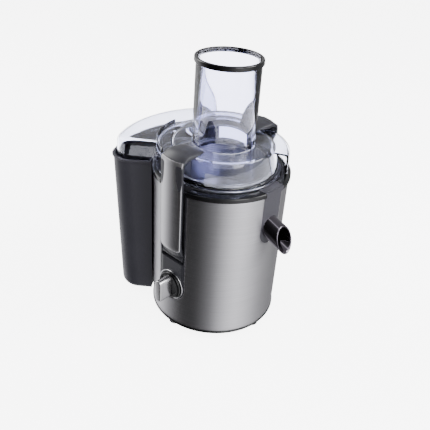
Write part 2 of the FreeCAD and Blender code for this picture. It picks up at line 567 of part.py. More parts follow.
# ---------------------------------------------------------------- juice collector and spout
floor_under = d.bowl_wall
bowl = turned("bowl", [
    (d.bowl_bore, d.bowl_floor_inner - 9.0), (d.bowl_bore + d.bowl_wall, d.bowl_floor_inner - 9.0),
    (d.bowl_bore + d.bowl_wall, d.bowl_floor_inner - floor_under),
    (d.bowl_foot - d.bowl_wall, d.bowl_floor_outer - floor_under), (d.bowl_foot - d.bowl_wall, d.deck_top),
    (d.bowl_foot, d.deck_top), (d.bowl_foot, d.bowl_floor_outer - floor_under),
    (d.bowl_radius, d.bowl_floor_outer - floor_under), (d.bowl_radius, d.bowl_top),
    (d.bowl_radius - d.bowl_wall, d.bowl_top), (d.bowl_radius - d.bowl_wall, d.bowl_floor_outer),
    (d.bowl_bore + d.bowl_wall, d.bowl_floor_inner), (d.bowl_bore + d.bowl_wall, d.bowl_collar_top),
    (d.bowl_bore, d.bowl_collar_top)])
panel_half = d.spout_slot_half - d.skin_gap
panel_inner = d.drum_radius - 4.0
panel_block = spout_slot_tool("panel_block", panel_half, panel_inner, d.drum_radius + 2.0)
panel_round = rod("panel_round", d.drum_radius - 0.2, d.bowl_top - 20.0, 0.0, 0.0, 20.0)
panel = common("panel", [panel_block, panel_round])
bridge = box("bridge", d.bowl_radius - 1.0, d.drum_radius + 1.0, -panel_half, panel_half, d.wrap_top + 0.5,
             d.collar_top)
neck_block = spout_slot_tool("neck_block", d.spout_radius + d.neck_wall, d.bowl_radius - d.bowl_wall + 0.3,
                             panel_inner + 0.5)
neck = common("neck", [neck_block, rod("neck_round", d.drum_radius, d.neck_top)])
collector_full = joined("collector_full", [bowl, panel, bridge, neck])
spout_angle = d.spout_drop + 90.0


def spout_rod(name, radius, length, back):
    """Cylinder along the spout's sloping centre line, which starts back from the mouth's centre."""
    slope = math.radians(d.spout_drop.value)
    return rod(name, radius, length, d.spout_reach - back * round(math.cos(slope), 6), 0.0,
               d.spout_mouth_height + back * round(math.sin(slope), 6), (0, 1, 0), spout_angle)


outside_bowl = rod("outside_bowl", d.bowl_radius - 1.2, d.bowl_top)
spout_hole = cut("spout_hole", spout_rod("spout_hole_rod", d.spout_radius + d.spout_fit, d.spout_run, d.spout_back),
                 outside_bowl)
juice_way = spout_rod("juice_way", d.spout_bore, d.spout_run, d.spout_back)
node(cut("juice_collector", collector_full, joined("collector_less", [spout_hole, juice_way])), "juice_collector")

spout_full = cut("spout_full", spout_rod("spout_outer", d.spout_radius, d.spout_run, d.spout_back),
                 rod("spout_inside_bowl", d.bowl_radius - 1.1, d.bowl_top))
spout_tube = cut("spout_tube", spout_full, spout_rod("spout_inner", d.spout_bore, d.spout_run + 20.0, d.spout_back + 10.0))
mouth_plane = doc.addObject("Part::Box", "mouth_plane")
cutter_depth = 60.0
cutter_half = 60.0
mouth_plane.Length = cutter_depth
mouth_plane.Width = 2.0 * cutter_half
mouth_plane.Height = 2.0 * cutter_half
mouth_offset = FreeCAD.Vector(0, -cutter_half, -cutter_half)
tilt = FreeCAD.Rotation(FreeCAD.Vector(0, 1, 0), -d.mouth_tilt.value)
mouth_centre = FreeCAD.Vector(d.spout_reach.value, 0, d.spout_mouth_height.value)
mouth_plane.Placement = FreeCAD.Placement(mouth_centre + tilt.multVec(mouth_offset), tilt)
node(cut("spout", spout_tube, mouth_plane), "spout")

# ---------------------------------------------------------------- lid
dome = turned("dome", [
    (d.lid_rim_radius + 0.6, d.lid_spigot_low), (d.lid_rim_radius + 0.6, d.lid_flange_low),
    (d.lid_flange_radius, d.lid_flange_low), (d.lid_flange_radius, d.lid_flange_top),
    (d.lid_rim_radius, d.lid_flange_top), (d.lid_flat_radius, d.lid_top),
    (d.tube_radius + d.tube_draft + d.tube_fit, d.lid_top),
    (d.tube_radius + d.tube_draft + d.tube_fit, d.lid_top - d.lid_wall),
    (d.lid_flat_radius - d.lid_wall + 0.4, d.lid_top - d.lid_wall),
    (d.lid_rim_radius - d.lid_wall, d.lid_flange_top), (d.lid_rim_radius - d.lid_wall + 0.6, d.lid_spigot_low)])
shroud_span = d.shroud_end - d.shroud_start
shroud_middle = (d.shroud_end + d.shroud_start) / 2.0
shroud = turned("shroud", [
    (d.lid_flat_radius + 0.2, d.shroud_top - d.lid_wall), (d.shroud_radius - d.lid_wall, d.shroud_top - d.lid_wall),
    (d.shroud_radius - d.lid_wall, d.shroud_low), (d.shroud_radius, d.shroud_low),
    (d.shroud_radius, d.shroud_top - 1.5), (d.shroud_radius - 1.5, d.shroud_top),
    (d.lid_flat_radius + 0.2, d.shroud_top)], shroud_span)
put(shroud, axis=(0, 0, 1), angle=shroud_middle)


def outlet_wall(name, degrees):
    """Thin radial wall between the inner lid and the shroud beside the pulp outlet."""
    wall = turned(name, [
        (d.lid_rim_radius - 0.8, d.lid_flange_top), (d.shroud_radius - 1.0, d.lid_flange_top),
        (d.shroud_radius - 1.0, d.shroud_top - 1.0), (d.lid_flat_radius + 0.8, d.shroud_top - 1.0)], d.lid_wall * 0.8)
    return put(wall, axis=(0, 0, 1), angle=degrees)


def sector_wire(back, outer, half_angle, corner, height):
    """Plan outline about -X: back arc, two radial ends and a front arc with rounded corners."""
    turn = math.asin(corner / (outer - corner))
    reach = math.sqrt((outer - corner) ** 2 - corner ** 2)

    def polar(radius, angle):
        return FreeCAD.Vector(-radius * math.cos(angle), -radius * math.sin(angle), height)

    def rounded(sign):
        centre = polar(outer - corner, sign * (half_angle - turn))
        on_arc = polar(outer, sign * (half_angle - turn))
        on_end = polar(reach, sign * half_angle)
        middle = (on_arc + on_end) * 0.5 - centre
        middle.normalize()
        return on_arc, centre + middle * corner, on_end

    arc_a, mid_a, end_a = rounded(1.0)
    arc_b, mid_b, end_b = rounded(-1.0)
    edges = [
        Part.Arc(polar(back, -half_angle), polar(back, 0.0), polar(back, half_angle)),
        Part.LineSegment(polar(back, half_angle), end_a), Part.Arc(end_a, mid_a, arc_a),
        Part.Arc(arc_a, polar(outer, 0.0), arc_b), Part.Arc(arc_b, mid_b, end_b),
        Part.LineSegment(end_b, polar(back, -half_angle))]
    return Part.Wire([e.toShape() for e in edges])


def sector_block(back, low, top):
    """Solid between a lower and an upper sector outline, each (outer, half angle, corner, height)."""
    wires = [sector_wire(back, outer, math.radians(half), corner, height) for outer, half, corner, height in (low, top)]
    return Part.makeLoft(wires, True, True)


def rounded_edges(shape, radius, height):
    """Fillet of the outline edges that lie at one height, without the back arc."""
    chosen = []
    for edge in shape.Edges:
        box_ = edge.BoundBox
        flat = abs(box_.ZMin - height) < 0.01 and abs(box_.ZMax - height) < 0.01
        if flat and box_.XMin < -(d.bin_back.value + 4.0):
            chosen.append(edge)
    return shape.makeFillet(radius, chosen)


bin_half = d.bin_half_angle.value
wall_angle = 1.5
cover_outer = d.bin_outer_top.value - d.bin_wall.value - d.cover_gap.value
cover_half = bin_half - wall_angle - 1.0
cover_corner = d.bin_corner.value - d.bin_wall.value - d.cover_gap.value
cover_wall = d.lid_wall.value
cover_hull = sector_block(d.shroud_radius.value - 1.0, (cover_outer, cover_half, cover_corner, d.cover_low.value),
                          (cover_outer - 1.5, cover_half, cover_corner, d.cover_top.value))
cover_hull = rounded_edges(cover_hull, d.cover_round.value, d.cover_top.value)
cover_core = sector_block(d.shroud_radius.value - 5.0,
                          (cover_outer - cover_wall, cover_half - wall_angle, cover_corner - cover_wall,
                           d.cover_low.value - 1.0),
                          (cover_outer - cover_wall - 1.5, cover_half - wall_angle, cover_corner - cover_wall,
                           d.cover_top.value - cover_wall))
cover_core = rounded_edges(cover_core, d.cover_round.value - 1.6, d.cover_top.value - cover_wall)
zone_foot = FreeCAD.Vector(0, 0, d.cover_low.value - REACH)
skirt_zone = Part.makeCylinder(d.bin_back.value + d.bin_wall.value + 2.0, d.bin_top.value + 7.0 - zone_foot.z,
                               zone_foot)
cover_shape = cover_hull.cut(cover_core).cut(skirt_zone)
inner_zone = Part.makeCylinder(d.shroud_radius.value - 0.6, d.cover_top.value + REACH - zone_foot.z, zone_foot)
cover_shape = cover_shape.cut(inner_zone)
cover = doc.addObject("Part::Feature", "pulp_cover")
cover.Shape = cover_shape

outlet_tool = turned("outlet_tool", [
    (d.lid_flat_radius - 6.0, d.outlet_low), (d.shroud_radius + 1.0, d.outlet_low),
    (d.shroud_radius + 1.0, d.outlet_top), (d.lid_flat_radius - 6.0, d.outlet_top)], d.outlet_half * 2.0)
put(outlet_tool, axis=(0, 0, 1), angle=180.0)
outlet_walls = [outlet_wall("outlet_wall_near", -(d.outlet_half + 1.5) + 180.0),
                outlet_wall("outlet_wall_far", d.outlet_half + 181.5)]
lid_full = joined("lid_full", [dome, shroud, cover] + outlet_walls)
node(cut("lid", lid_full, outlet_tool), "lid")

node(turned("feed_tube", [
    (d.tube_bore, d.tube_low), (d.tube_radius + d.tube_draft, d.tube_low),
    (d.tube_radius + d.tube_draft, d.lid_top), (d.tube_radius, d.tube_top), (d.tube_bore, d.tube_top)]), "feed_tube")

node(turned("tube_ring", [
    (d.tube_radius + 0.15, d.ring_low), (d.ring_radius - 0.4, d.ring_low), (d.ring_radius, d.ring_low + 0.6),
    (d.ring_radius, d.ring_top - 0.8), (d.ring_radius - 0.8, d.ring_top), (d.ring_bore + 0.5, d.ring_top),
    (d.ring_bore, d.ring_top - 0.6), (d.ring_bore, d.tube_top), (d.tube_radius + 0.15, d.tube_top)]), "tube_ring")

# ---------------------------------------------------------------- pulp container
low_half = bin_half - 2.0
bin_hull = sector_block(d.bin_back.value, (d.bin_outer_low.value, low_half, d.bin_corner.value, d.bin_low.value),
                        (d.bin_outer_top.value, bin_half, d.bin_corner.value, d.bin_top.value))
bin_hull = rounded_edges(bin_hull, d.bin_low_round.value, d.bin_low.value)
wall = d.bin_wall.value
bin_core = sector_block(d.bin_back.value + wall,
                        (d.bin_outer_low.value - wall, low_half - wall_angle, d.bin_corner.value - wall,
                         d.bin_low.value + wall),
                        (d.bin_outer_top.value - wall, bin_half - wall_angle, d.bin_corner.value - wall,
                         d.bin_top.value + 0.01))
bin_core = rounded_edges(bin_core, d.bin_low_round.value - wall, d.bin_low.value + wall)
flare = d.bin_rim_flare.value
rim_low = d.bin_top.value - d.bin_rim_height.value
rim_step = 0.4
rim_half = bin_half + 0.3
rim = sector_block(d.bin_back.value + wall / 2.0,
                   (d.bin_outer_top.value + rim_step, rim_half, d.bin_corner.value + rim_step, rim_low),
                   (d.bin_outer_top.value + flare, rim_half + 0.4, d.bin_corner.value + flare, d.bin_top.value))
hole_outline = (d.bin_outer_top.value - wall / 2.0, bin_half - wall_angle / 2.0, d.bin_corner.value - wall / 2.0)
rim_hole = sector_block(d.bin_back.value + wall / 4.0, hole_outline + (rim_low - 1.0,),
                        hole_outline + (d.bin_top.value + 1.0,))
hook_low = d.collar_top.value + 0.2
hook_gauge = d.hook_gauge.value
stem_outer = d.bin_back.value + wall - 0.3
stem_low = d.bin_top.value - 1.0
hook_turn = Part.makeCylinder(stem_outer, hook_gauge, FreeCAD.Vector(0, 0, hook_low))
tip = d.bin_hook_tip.value
hook_turn = hook_turn.cut(Part.makeBox(tip + stem_outer + REACH, 4.0 * stem_outer, 2.0 * hook_gauge,
                                       FreeCAD.Vector(-tip, -2.0 * stem_outer, hook_low - 0.5 * hook_gauge)))
stem = Part.makeCylinder(stem_outer, hook_low + hook_gauge - stem_low, FreeCAD.Vector(0, 0, stem_low))
stem = stem.cut(Part.makeCylinder(d.bin_back.value + 0.3, REACH, FreeCAD.Vector(0, 0, stem_low - 1.0)))
zone_outline = (d.bin_back.value + 28.0, d.bin_hook_half.value, 4.0)
hook_zone = sector_block(tip - 27.0, zone_outline + (d.bin_top.value - REACH,), zone_outline + (d.bin_top.value + REACH,))
bead_half = tip * math.sin(math.radians(d.bin_hook_half.value)) - 1.0
bead = Part.makeCylinder(d.bead_radius.value, 2.0 * bead_half,
                         FreeCAD.Vector(-(tip + hook_gauge / 2.0), -bead_half, hook_low + hook_gauge / 2.0),
                         FreeCAD.Vector(0, 1, 0))
hook = hook_turn.fuse(stem).common(hook_zone).fuse(bead)
shaped("pulp_container", bin_hull.cut(bin_core).fuse(rim.cut(rim_hole)).fuse(hook).removeSplitter())

# ---------------------------------------------------------------- speed knob
face_y = -d.panel_face
dial_back = d.panel_face + d.skin_gap
bezel_out = rod("bezel_out", d.bezel_radius, d.bezel_thick, 0.0, face_y, d.knob_height, (1, 0, 0), 90.0)
bezel_hole = rod("bezel_hole", d.dial_radius + d.fit_gap * 2.0, d.bezel_thick + 4.0, 0.0, face_y + 2.0,
                 d.knob_height, (1, 0, 0), 90.0)
node(cut("dial_bezel", bezel_out, bezel_hole), "dial_bezel")
dial_disc = rod("dial_disc", d.dial_radius, d.dial_thick, 0.0, -dial_back, d.knob_height, (1, 0, 0), 90.0)
dial_hole = rod("dial_hole", d.spindle_radius, d.dial_thick + 4.0, 0.0, -dial_back + 2.0, d.knob_height,
                (1, 0, 0), 90.0)
node(cut("knob_dial", dial_disc, dial_hole), "knob_dial")
grip_start = dial_back + d.dial_thick
grip_ball = d.grip_half
grip_bar = box("grip_bar", -d.grip_half, d.grip_half, -d.grip_reach, -grip_start,
               d.knob_height - d.grip_length / 2.0 + grip_ball, d.knob_height + d.grip_length / 2.0 - grip_ball)
grip_rounds = [
    rod("grip_round_low", grip_ball, d.grip_reach - grip_start, 0.0, -grip_start,
        d.knob_height - d.grip_length / 2.0 + grip_ball, (1, 0, 0), 90.0),
    rod("grip_round_high", grip_ball, d.grip_reach - grip_start, 0.0, -grip_start,
        d.knob_height + d.grip_length / 2.0 - grip_ball, (1, 0, 0), 90.0)]
node(joined("knob_grip", [grip_bar] + grip_rounds), "knob_grip")
spindle = rod("knob_spindle", d.spindle_radius, grip_start - d.spindle_end, 0.0, -d.spindle_end, d.knob_height,
              (1, 0, 0), 90.0)
node(spindle, "knob_spindle")
switch_front = d.channel_back - 0.5
switch_block = box("switch_block", -d.switch_half, d.switch_half, -switch_front, -(switch_front - d.switch_depth),
                   d.knob_height - d.switch_half, d.knob_height + d.switch_half)
switch_hole = rod("switch_hole", d.spindle_radius + d.pin_fit, 40.0, 0.0, -(d.spindle_end - 6.0), d.knob_height,
                  (1, 0, 0), 90.0)
node(cut("speed_switch", switch_block, switch_hole), "speed_switch")

# ---------------------------------------------------------------- interlock
plunger = rod("interlock_plunger", d.plunger_radius, d.plunger_length, 0.0, -(d.plunger_tip - d.plunger_length),
              d.plunger_height, (1, 0, 0), 90.0)
node(plunger, "interlock_plunger")
micro_front = d.plunger_tip - d.plunger_length - d.skin_gap
node(box("interlock_switch", -d.micro_half * 1.5, d.micro_half * 1.5, -micro_front, -(micro_front - d.micro_depth),
         d.plunger_height - d.micro_half, d.plunger_height + d.micro_half), "interlock_switch")

# ---------------------------------------------------------------- motor, fixed parts
lower_top = d.lower_bracket + d.bracket_thick
upper_top = d.upper_bracket + d.bracket_thick
stays = polar_rods("stay_bore_low", d.stay_circle, d.stay_radius, d.lower_bracket - 2.0, d.bracket_thick + 4.0,
                   DIAGONALS)
lower_disc = turned("lower_disc", [
    (d.shaft_radius + 2.0, d.lower_bearing - 1.5), (d.bearing_radius + 3.0, d.lower_bearing - 1.5),
    (d.bearing_radius + 3.0, d.lower_bracket), (d.bracket_radius, d.lower_bracket), (d.bracket_radius, lower_top),
    (d.bearing_radius, lower_top), (d.bearing_radius, d.lower_bearing), (d.shaft_radius + 2.0, d.lower_bearing)])
node(cut("motor_bracket_lower", lower_disc, joined("lower_less", stays)), "motor_bracket_lower")
upper_stays = polar_rods("stay_bore_high", d.stay_circle, d.stay_radius, d.upper_bracket - 2.0,
                         d.bracket_thick + 4.0, DIAGONALS)
bearing_top = d.upper_bearing + d.bearing_width
upper_disc = turned("upper_disc", [
    (d.bearing_radius, d.upper_bearing), (d.bearing_radius + 3.0, d.upper_bearing),
    (d.bearing_radius + 3.0, d.upper_bracket), (d.spacer_bore, d.upper_bracket), (d.spacer_bore, d.core_high),
    (d.core_radius, d.core_high), (d.core_radius, d.upper_bracket), (d.bracket_radius, d.upper_bracket),
    (d.bracket_radius, upper_top), (d.bearing_radius + 3.0, upper_top), (d.bearing_radius + 3.0, bearing_top + 1.5),
    (d.shaft_radius + 2.0, bearing_top + 1.5), (d.shaft_radius + 2.0, bearing_top), (d.bearing_radius, bearing_top)])
brush_middle = (d.commutator_low + d.commutator_high) / 2.0
bell_windows = [box("bell_window0", -16.0, 16.0, -(d.core_radius + 4.0), d.core_radius + 4.0, d.core_high + 4.0,
                    d.upper_bracket - 4.0)]
node(cut("motor_bracket_upper", upper_disc, joined("upper_less", upper_stays + bell_windows)), "motor_bracket_upper")
node(turned("fan_shroud", [
    (d.spacer_bore, lower_top), (d.core_radius, lower_top), (d.core_radius, d.core_low),
    (d.spacer_bore, d.core_low)]), "fan_shroud")

core_disc = rod("core_disc", d.core_radius, d.core_high - d.core_low, 0.0, 0.0, d.core_low)
core_box = box("core_box", -d.core_radius, d.core_radius, -d.core_flat, d.core_flat, d.core_low, d.core_high)
core_tools = [rod("core_bore_tool", d.core_bore, d.core_high, 0.0, 0.0, d.core_low - 5.0)]
slot_fit = 0.2
for i, (sx, sy) in enumerate(((1, 1), (1, -1), (-1, 1), (-1, -1))):
    x0, x1 = (d.coil_inner - slot_fit, d.coil_outer + slot_fit) if sx > 0 else (
        -(d.coil_outer + slot_fit), -(d.coil_inner - slot_fit))
    y0, y1 = (d.pole_half - slot_fit, d.coil_half + slot_fit) if sy > 0 else (
        -(d.coil_half + slot_fit), -(d.pole_half - slot_fit))
    core_tools.append(box("coil_slot" + str(i), x0, x1, y0, y1, d.core_low - 5.0, d.core_high + 5.0))
node(cut("stator_core", common("core_blank", [core_disc, core_box]), joined("core_less", core_tools)), "stator_core")

coils = []
for i, sx in enumerate((1, -1)):
    x0, x1 = (d.coil_inner, d.coil_outer) if sx > 0 else (-d.coil_outer, -d.coil_inner)
    outer = box("coil_full" + str(i), x0, x1, -d.coil_half, d.coil_half, d.core_low - d.coil_head,
                d.core_high + d.coil_head)
    inner = box("coil_window" + str(i), x0 - 1.0, x1 + 1.0, -d.pole_half, d.pole_half, d.core_low - 0.1,
                d.core_high + 0.1)
    coils.append(cut("coil" + str(i), outer, inner))
node(group("field_coils", coils), "field_coils")

for label, low in (("bearing_lower", d.lower_bearing), ("bearing_upper", d.upper_bearing)):
    node(turned(label, [
        (d.shaft_radius, low), (d.bearing_radius, low), (d.bearing_radius, low + d.bearing_width),
        (d.shaft_radius, low + d.bearing_width)]), label)

holders = []
brushes = []
springs = []
brush_low = brush_middle - d.brush_height / 2.0
brush_start = d.commutator_radius + 0.1
for i, sign in enumerate((1.0, -1.0)):
    def span(a, b):
        return (a, b) if sign > 0 else (-b, -a)
    x0, x1 = span(d.commutator_radius + 2.0, d.holder_end)
    outer = box("holder_full" + str(i), x0, x1, -(d.brush_half + d.holder_wall), d.brush_half + d.holder_wall,
                brush_low - d.holder_wall, d.upper_bracket)
    x0, x1 = span(d.commutator_radius, d.holder_end - d.holder_wall)
    hole = box("holder_hole" + str(i), x0, x1, -(d.brush_half + 0.1), d.brush_half + 0.1, brush_low - 0.1,
               brush_low + d.brush_height + 0.1)
    holders.append(cut("holder" + str(i), outer, hole))
    x0, x1 = span(brush_start, brush_start + d.brush_length)
    brushes.append(box("brush" + str(i), x0, x1, -d.brush_half, d.brush_half, brush_low, brush_low + d.brush_height))
    x0, x1 = span(brush_start + d.brush_length, d.holder_end - d.holder_wall)
    springs.append(rod("spring" + str(i), d.brush_half - 0.6, d.holder_end - d.holder_wall - brush_start
                       - d.brush_length, x0, 0.0, brush_middle, (0, 1, 0), 90.0))
node(group("brush_holders", holders), "brush_holders")
node(group("carbon_brushes", brushes), "carbon_brushes")
node(group("brush_springs", springs), "brush_springs")

mounts = [cut("mount" + str(i), outer, inner) for i, (outer, inner) in enumerate(zip(
    polar_rods("mount_full", d.stay_circle, d.mount_radius, upper_top, d.mount_top - upper_top, DIAGONALS),
    polar_rods("mount_hole", d.stay_circle, d.stay_radius, upper_top - 1.0, d.mount_top - upper_top + 2.0,
               DIAGONALS)))]
node(group("motor_mounts", mounts), "motor_mounts")
bolts = []
for i, degrees in enumerate(DIAGONALS):
    bolt = turned("motor_bolt" + str(i), [
        (0.0, d.lower_bracket - 2.6), (d.screw_head, d.lower_bracket - 2.6), (d.screw_head, d.lower_bracket),
        (d.stay_radius, d.lower_bracket), (d.stay_radius, d.mount_top + 4.0), (0.0, d.mount_top + 4.0)])
    bolts.append(put(bolt, d.stay_circle * round(math.cos(math.radians(degrees)), 6),
                     d.stay_circle * round(math.sin(math.radians(degrees)), 6)))
node(group("motor_bolts", bolts), "motor_bolts")

node(turned("shaft_seal", [
    (d.shaft_radius + 0.1, d.seal_low), (d.chimney_bore, d.seal_low), (d.chimney_bore, d.seal_top),
    (d.shaft_radius + 0.1, d.seal_top)]), "shaft_seal")
node(box("control_board", -d.board_face, -(d.board_face - d.board_gauge), -d.board_half, d.board_half, d.board_low,
         d.board_high), "control_board")
cap_back = d.board_face - d.board_gauge
node(box("suppression_capacitor", -cap_back, -(cap_back - d.cap_depth), -d.cap_half, d.cap_half, d.cap_low,
         d.cap_high), "suppression_capacitor")

# ---------------------------------------------------------------- rotor
node(rod("motor_shaft", d.shaft_radius, d.shaft_top - d.shaft_low, 0.0, 0.0, d.shaft_low), "motor_shaft")
rotor_radius = d.core_bore - d.air_gap
rotor_disc = turned("rotor_disc", [
    (d.shaft_radius, d.core_low), (rotor_radius, d.core_low), (rotor_radius, d.core_high),
    (d.shaft_radius, d.core_high)])
rotor_slots = []
for i in range(12):
    slot = doc.addObject("Part::Box", "rotor_slot" + str(i))
    drive(slot, "Length", d.core_bore)
    drive(slot, "Width", d.rotor_slot_width)
    drive(slot, "Height", d.core_high)
    put(slot, axis=(0, 0, 1), angle=30.0 * i)
    rotor_slots.append(cut("rotor_slot_cut" + str(i), slot,
                           rod("rotor_slot_core" + str(i), rotor_radius - d.rotor_slot_depth, d.core_high)))
node(cut("rotor_core", rotor_disc, joined("rotor_less", rotor_slots)), "rotor_core")
heads = []
for i, (low, high) in enumerate(((d.core_low - d.coil_head, d.core_low), (d.core_high, d.core_high + d.coil_head))):
    heads.append(turned("winding_head" + str(i), [
        (d.winding_bore, low), (d.winding_radius, low), (d.winding_radius, high), (d.winding_bore, high)]))
node(group("rotor_windings", heads), "rotor_windings")
node(turned("commutator", [
    (d.shaft_radius, d.commutator_low), (d.commutator_radius, d.commutator_low),
    (d.commutator_radius, d.commutator_high), (d.shaft_radius, d.commutator_high)]), "commutator")

fan_hub = turned("fan_hub_disc", [
    (d.shaft_radius, d.fan_low), (d.fan_radius, d.fan_low), (d.fan_radius, d.fan_low + d.blade_gauge),
    (d.fan_hub, d.fan_low + d.blade_gauge), (d.fan_hub, d.fan_high), (d.shaft_radius, d.fan_high)])
blades = []
for i in range(9):
    blade = doc.addObject("Part::Box", "fan_blade" + str(i))
    drive(blade, "Length", d.fan_radius - d.fan_hub)
    drive(blade, "Width", d.blade_gauge)
    drive(blade, "Height", d.fan_high - d.fan_low)
    heading = 40.0 * i
    blade.Placement = FreeCAD.Placement(FreeCAD.Vector(), FreeCAD.Rotation(FreeCAD.Vector(0, 0, 1), heading))
    blade_start = d.fan_hub - 1.0
    blade.setExpression("Placement.Base.x", (blade_start * round(math.cos(math.radians(heading)), 6)).text)
    blade.setExpression("Placement.Base.y", (blade_start * round(math.sin(math.radians(heading)), 6)).text)
    blade.setExpression("Placement.Base.z", d.fan_low.text)
    blades.append(blade)
node(joined("cooling_fan", [fan_hub] + blades), "cooling_fan")

coupling_body = turned("coupling_body", [
    (d.shaft_radius, d.coupling_low), (d.coupling_radius - 3.0, d.coupling_low),
    (d.coupling_radius, d.coupling_low + 3.0), (d.coupling_radius, d.coupling_top - 5.0),
    (d.coupling_radius - 3.0, d.coupling_top), (0.0, d.coupling_top), (0.0, d.shaft_top),
    (d.shaft_radius, d.shaft_top)])
splines = polar_rods("spline", d.coupling_radius, d.spline_radius, d.coupling_low - 1.0,
                     d.coupling_top - d.coupling_low + 2.0, [60.0 * i for i in range(6)])
node(cut("drive_coupling", coupling_body, joined("splines", splines)), "drive_coupling")

floor_top = d.sieve_floor + d.sieve_floor_thick
sieve_floor = turned("sieve_floor_disc", [
    (d.sieve_hub_bore, d.sieve_hub_low), (d.sieve_hub_radius, d.sieve_hub_low),
    (d.sieve_hub_radius, d.sieve_floor), (d.sieve_floor_radius + d.rib_depth, d.sieve_floor),
    (d.sieve_floor_radius + d.rib_depth, floor_top), (0.0, floor_top), (0.0, d.coupling_top + 0.5),
    (d.sieve_hub_bore, d.coupling_top + 0.5)])
sieve_rim = turned("sieve_rim", [
    (d.mesh_rim_radius, d.sieve_rim_low), (d.sieve_rim_radius, d.sieve_rim_low),
    (d.sieve_rim_radius, d.sieve_rim_top), (d.mesh_rim_radius, d.sieve_rim_top)])
ribs = []
cone_slope = (d.mesh_rim_radius - d.sieve_floor_radius) / (d.sieve_rim_low - floor_top)
rib_root = d.sieve_floor_radius + d.rib_gap
rib_tip = d.mesh_rim_radius + d.rib_gap
for i in range(8):
    rib = turned("sieve_rib" + str(i), [
        (rib_root - cone_slope, floor_top - 1.0), (rib_root + d.rib_depth, floor_top - 1.0),
        (rib_tip + d.rib_depth, d.sieve_rim_low + 1.0), (rib_tip + cone_slope, d.sieve_rim_low + 1.0)],
        d.rib_angle)
    ribs.append(put(rib, axis=(0, 0, 1), angle=45.0 * i))
node(joined("sieve_basket", [sieve_floor, sieve_rim] + ribs), "sieve_basket")
node(turned("sieve_mesh", [
    (d.sieve_floor_radius - d.mesh_gauge, floor_top), (d.sieve_floor_radius, floor_top),
    (d.mesh_rim_radius, d.sieve_rim_low), (d.mesh_rim_radius, d.sieve_rim_low + 1.0),
    (d.mesh_rim_radius - d.mesh_gauge, d.sieve_rim_low + 1.0)]), "sieve_mesh")
node(turned("grating_disc", [
    (0.0, floor_top), (d.grater_radius, floor_top), (d.grater_radius, floor_top + d.grater_gauge),
    (0.0, floor_top + d.grater_gauge)]), "grating_disc")

# ---------------------------------------------------------------- checks and files
doc.recompute()
bad = [o.Name + " " + " ".join(o.State) for o in doc.Objects if "Invalid" in o.State or "Error" in o.State]
for part in nodes:
    if part.Shape.isNull() or not part.Shape.isValid() or not part.Shape.Solids:
        bad.append(part.Label + " shape")
if bad:
    raise RuntimeError("failed objects: " + ", ".join(bad))
os.makedirs("parts", exist_ok=True)
for part in nodes:
    part.Shape.exportStep("parts/" + part.Label + ".step")
    box_ = part.Shape.BoundBox
    print(part.Label, "solids", len(part.Shape.Solids), "volume", round(part.Shape.Volume), "z", round(box_.ZMin, 1),
          round(box_.ZMax, 1))
print("nodes", len(nodes))
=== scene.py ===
# %% [markdown]
# # A centrifugal juicer
#
# The object is a brushed aluminium drum on a black base, with a clear lid and a wide clear feed tube above
# it, two hinged clamps that hold the lid down, a juice spout, a speed knob, and a pulp container that wraps
# round the back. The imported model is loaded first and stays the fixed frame: every size below is read from
# its nodes or stated in millimetres, and every new piece rides on the body that its node belongs to.

# %% Load the frame
import bmesh
import bpy
import math
import numpy as np
from mathutils import Matrix, Vector


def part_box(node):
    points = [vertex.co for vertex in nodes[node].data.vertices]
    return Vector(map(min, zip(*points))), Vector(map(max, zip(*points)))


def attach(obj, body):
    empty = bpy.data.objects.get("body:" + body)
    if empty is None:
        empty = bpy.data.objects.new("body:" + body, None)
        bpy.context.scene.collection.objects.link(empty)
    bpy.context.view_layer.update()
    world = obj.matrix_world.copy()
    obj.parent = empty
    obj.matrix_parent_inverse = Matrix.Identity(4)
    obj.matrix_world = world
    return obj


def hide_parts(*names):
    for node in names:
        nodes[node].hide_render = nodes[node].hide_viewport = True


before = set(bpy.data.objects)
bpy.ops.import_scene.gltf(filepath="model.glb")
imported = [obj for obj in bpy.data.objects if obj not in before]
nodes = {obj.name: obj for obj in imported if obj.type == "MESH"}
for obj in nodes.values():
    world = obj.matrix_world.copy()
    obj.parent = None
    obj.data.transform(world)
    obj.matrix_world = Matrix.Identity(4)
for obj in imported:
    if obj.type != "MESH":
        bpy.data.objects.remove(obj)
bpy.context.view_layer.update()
MM = 0.001

# %% [markdown]
# ## Helpers for surfaces
#
# Every shell here is a grid of points, worked out with whole numpy arrays: rows are sections and columns are
# the points of one section. Two ways to make a shell were open: a flat sheet that a Solidify modifier
# thickens, or one closed outline that already holds both faces of the wall. The outline was chosen for most
# pieces, because a moulding's lip, fillet and flange are then part of the shape itself.


# %% Grid of faces
def grid_faces(rows, columns, ring=False, tube=False):
    """Quads between neighbouring rows and columns; ring closes each row, tube closes the stack of rows."""
    last_row = rows if tube else rows - 1
    last_column = columns if ring else columns - 1
    row, column = np.meshgrid(np.arange(last_row), np.arange(last_column), indexing="ij")
    next_row = (row + 1) % rows
    next_column = (column + 1) % columns
    corners = [row * columns + column, row * columns + next_column,
               next_row * columns + next_column, next_row * columns + column]
    return np.stack(corners, axis=-1).reshape(-1, 4)


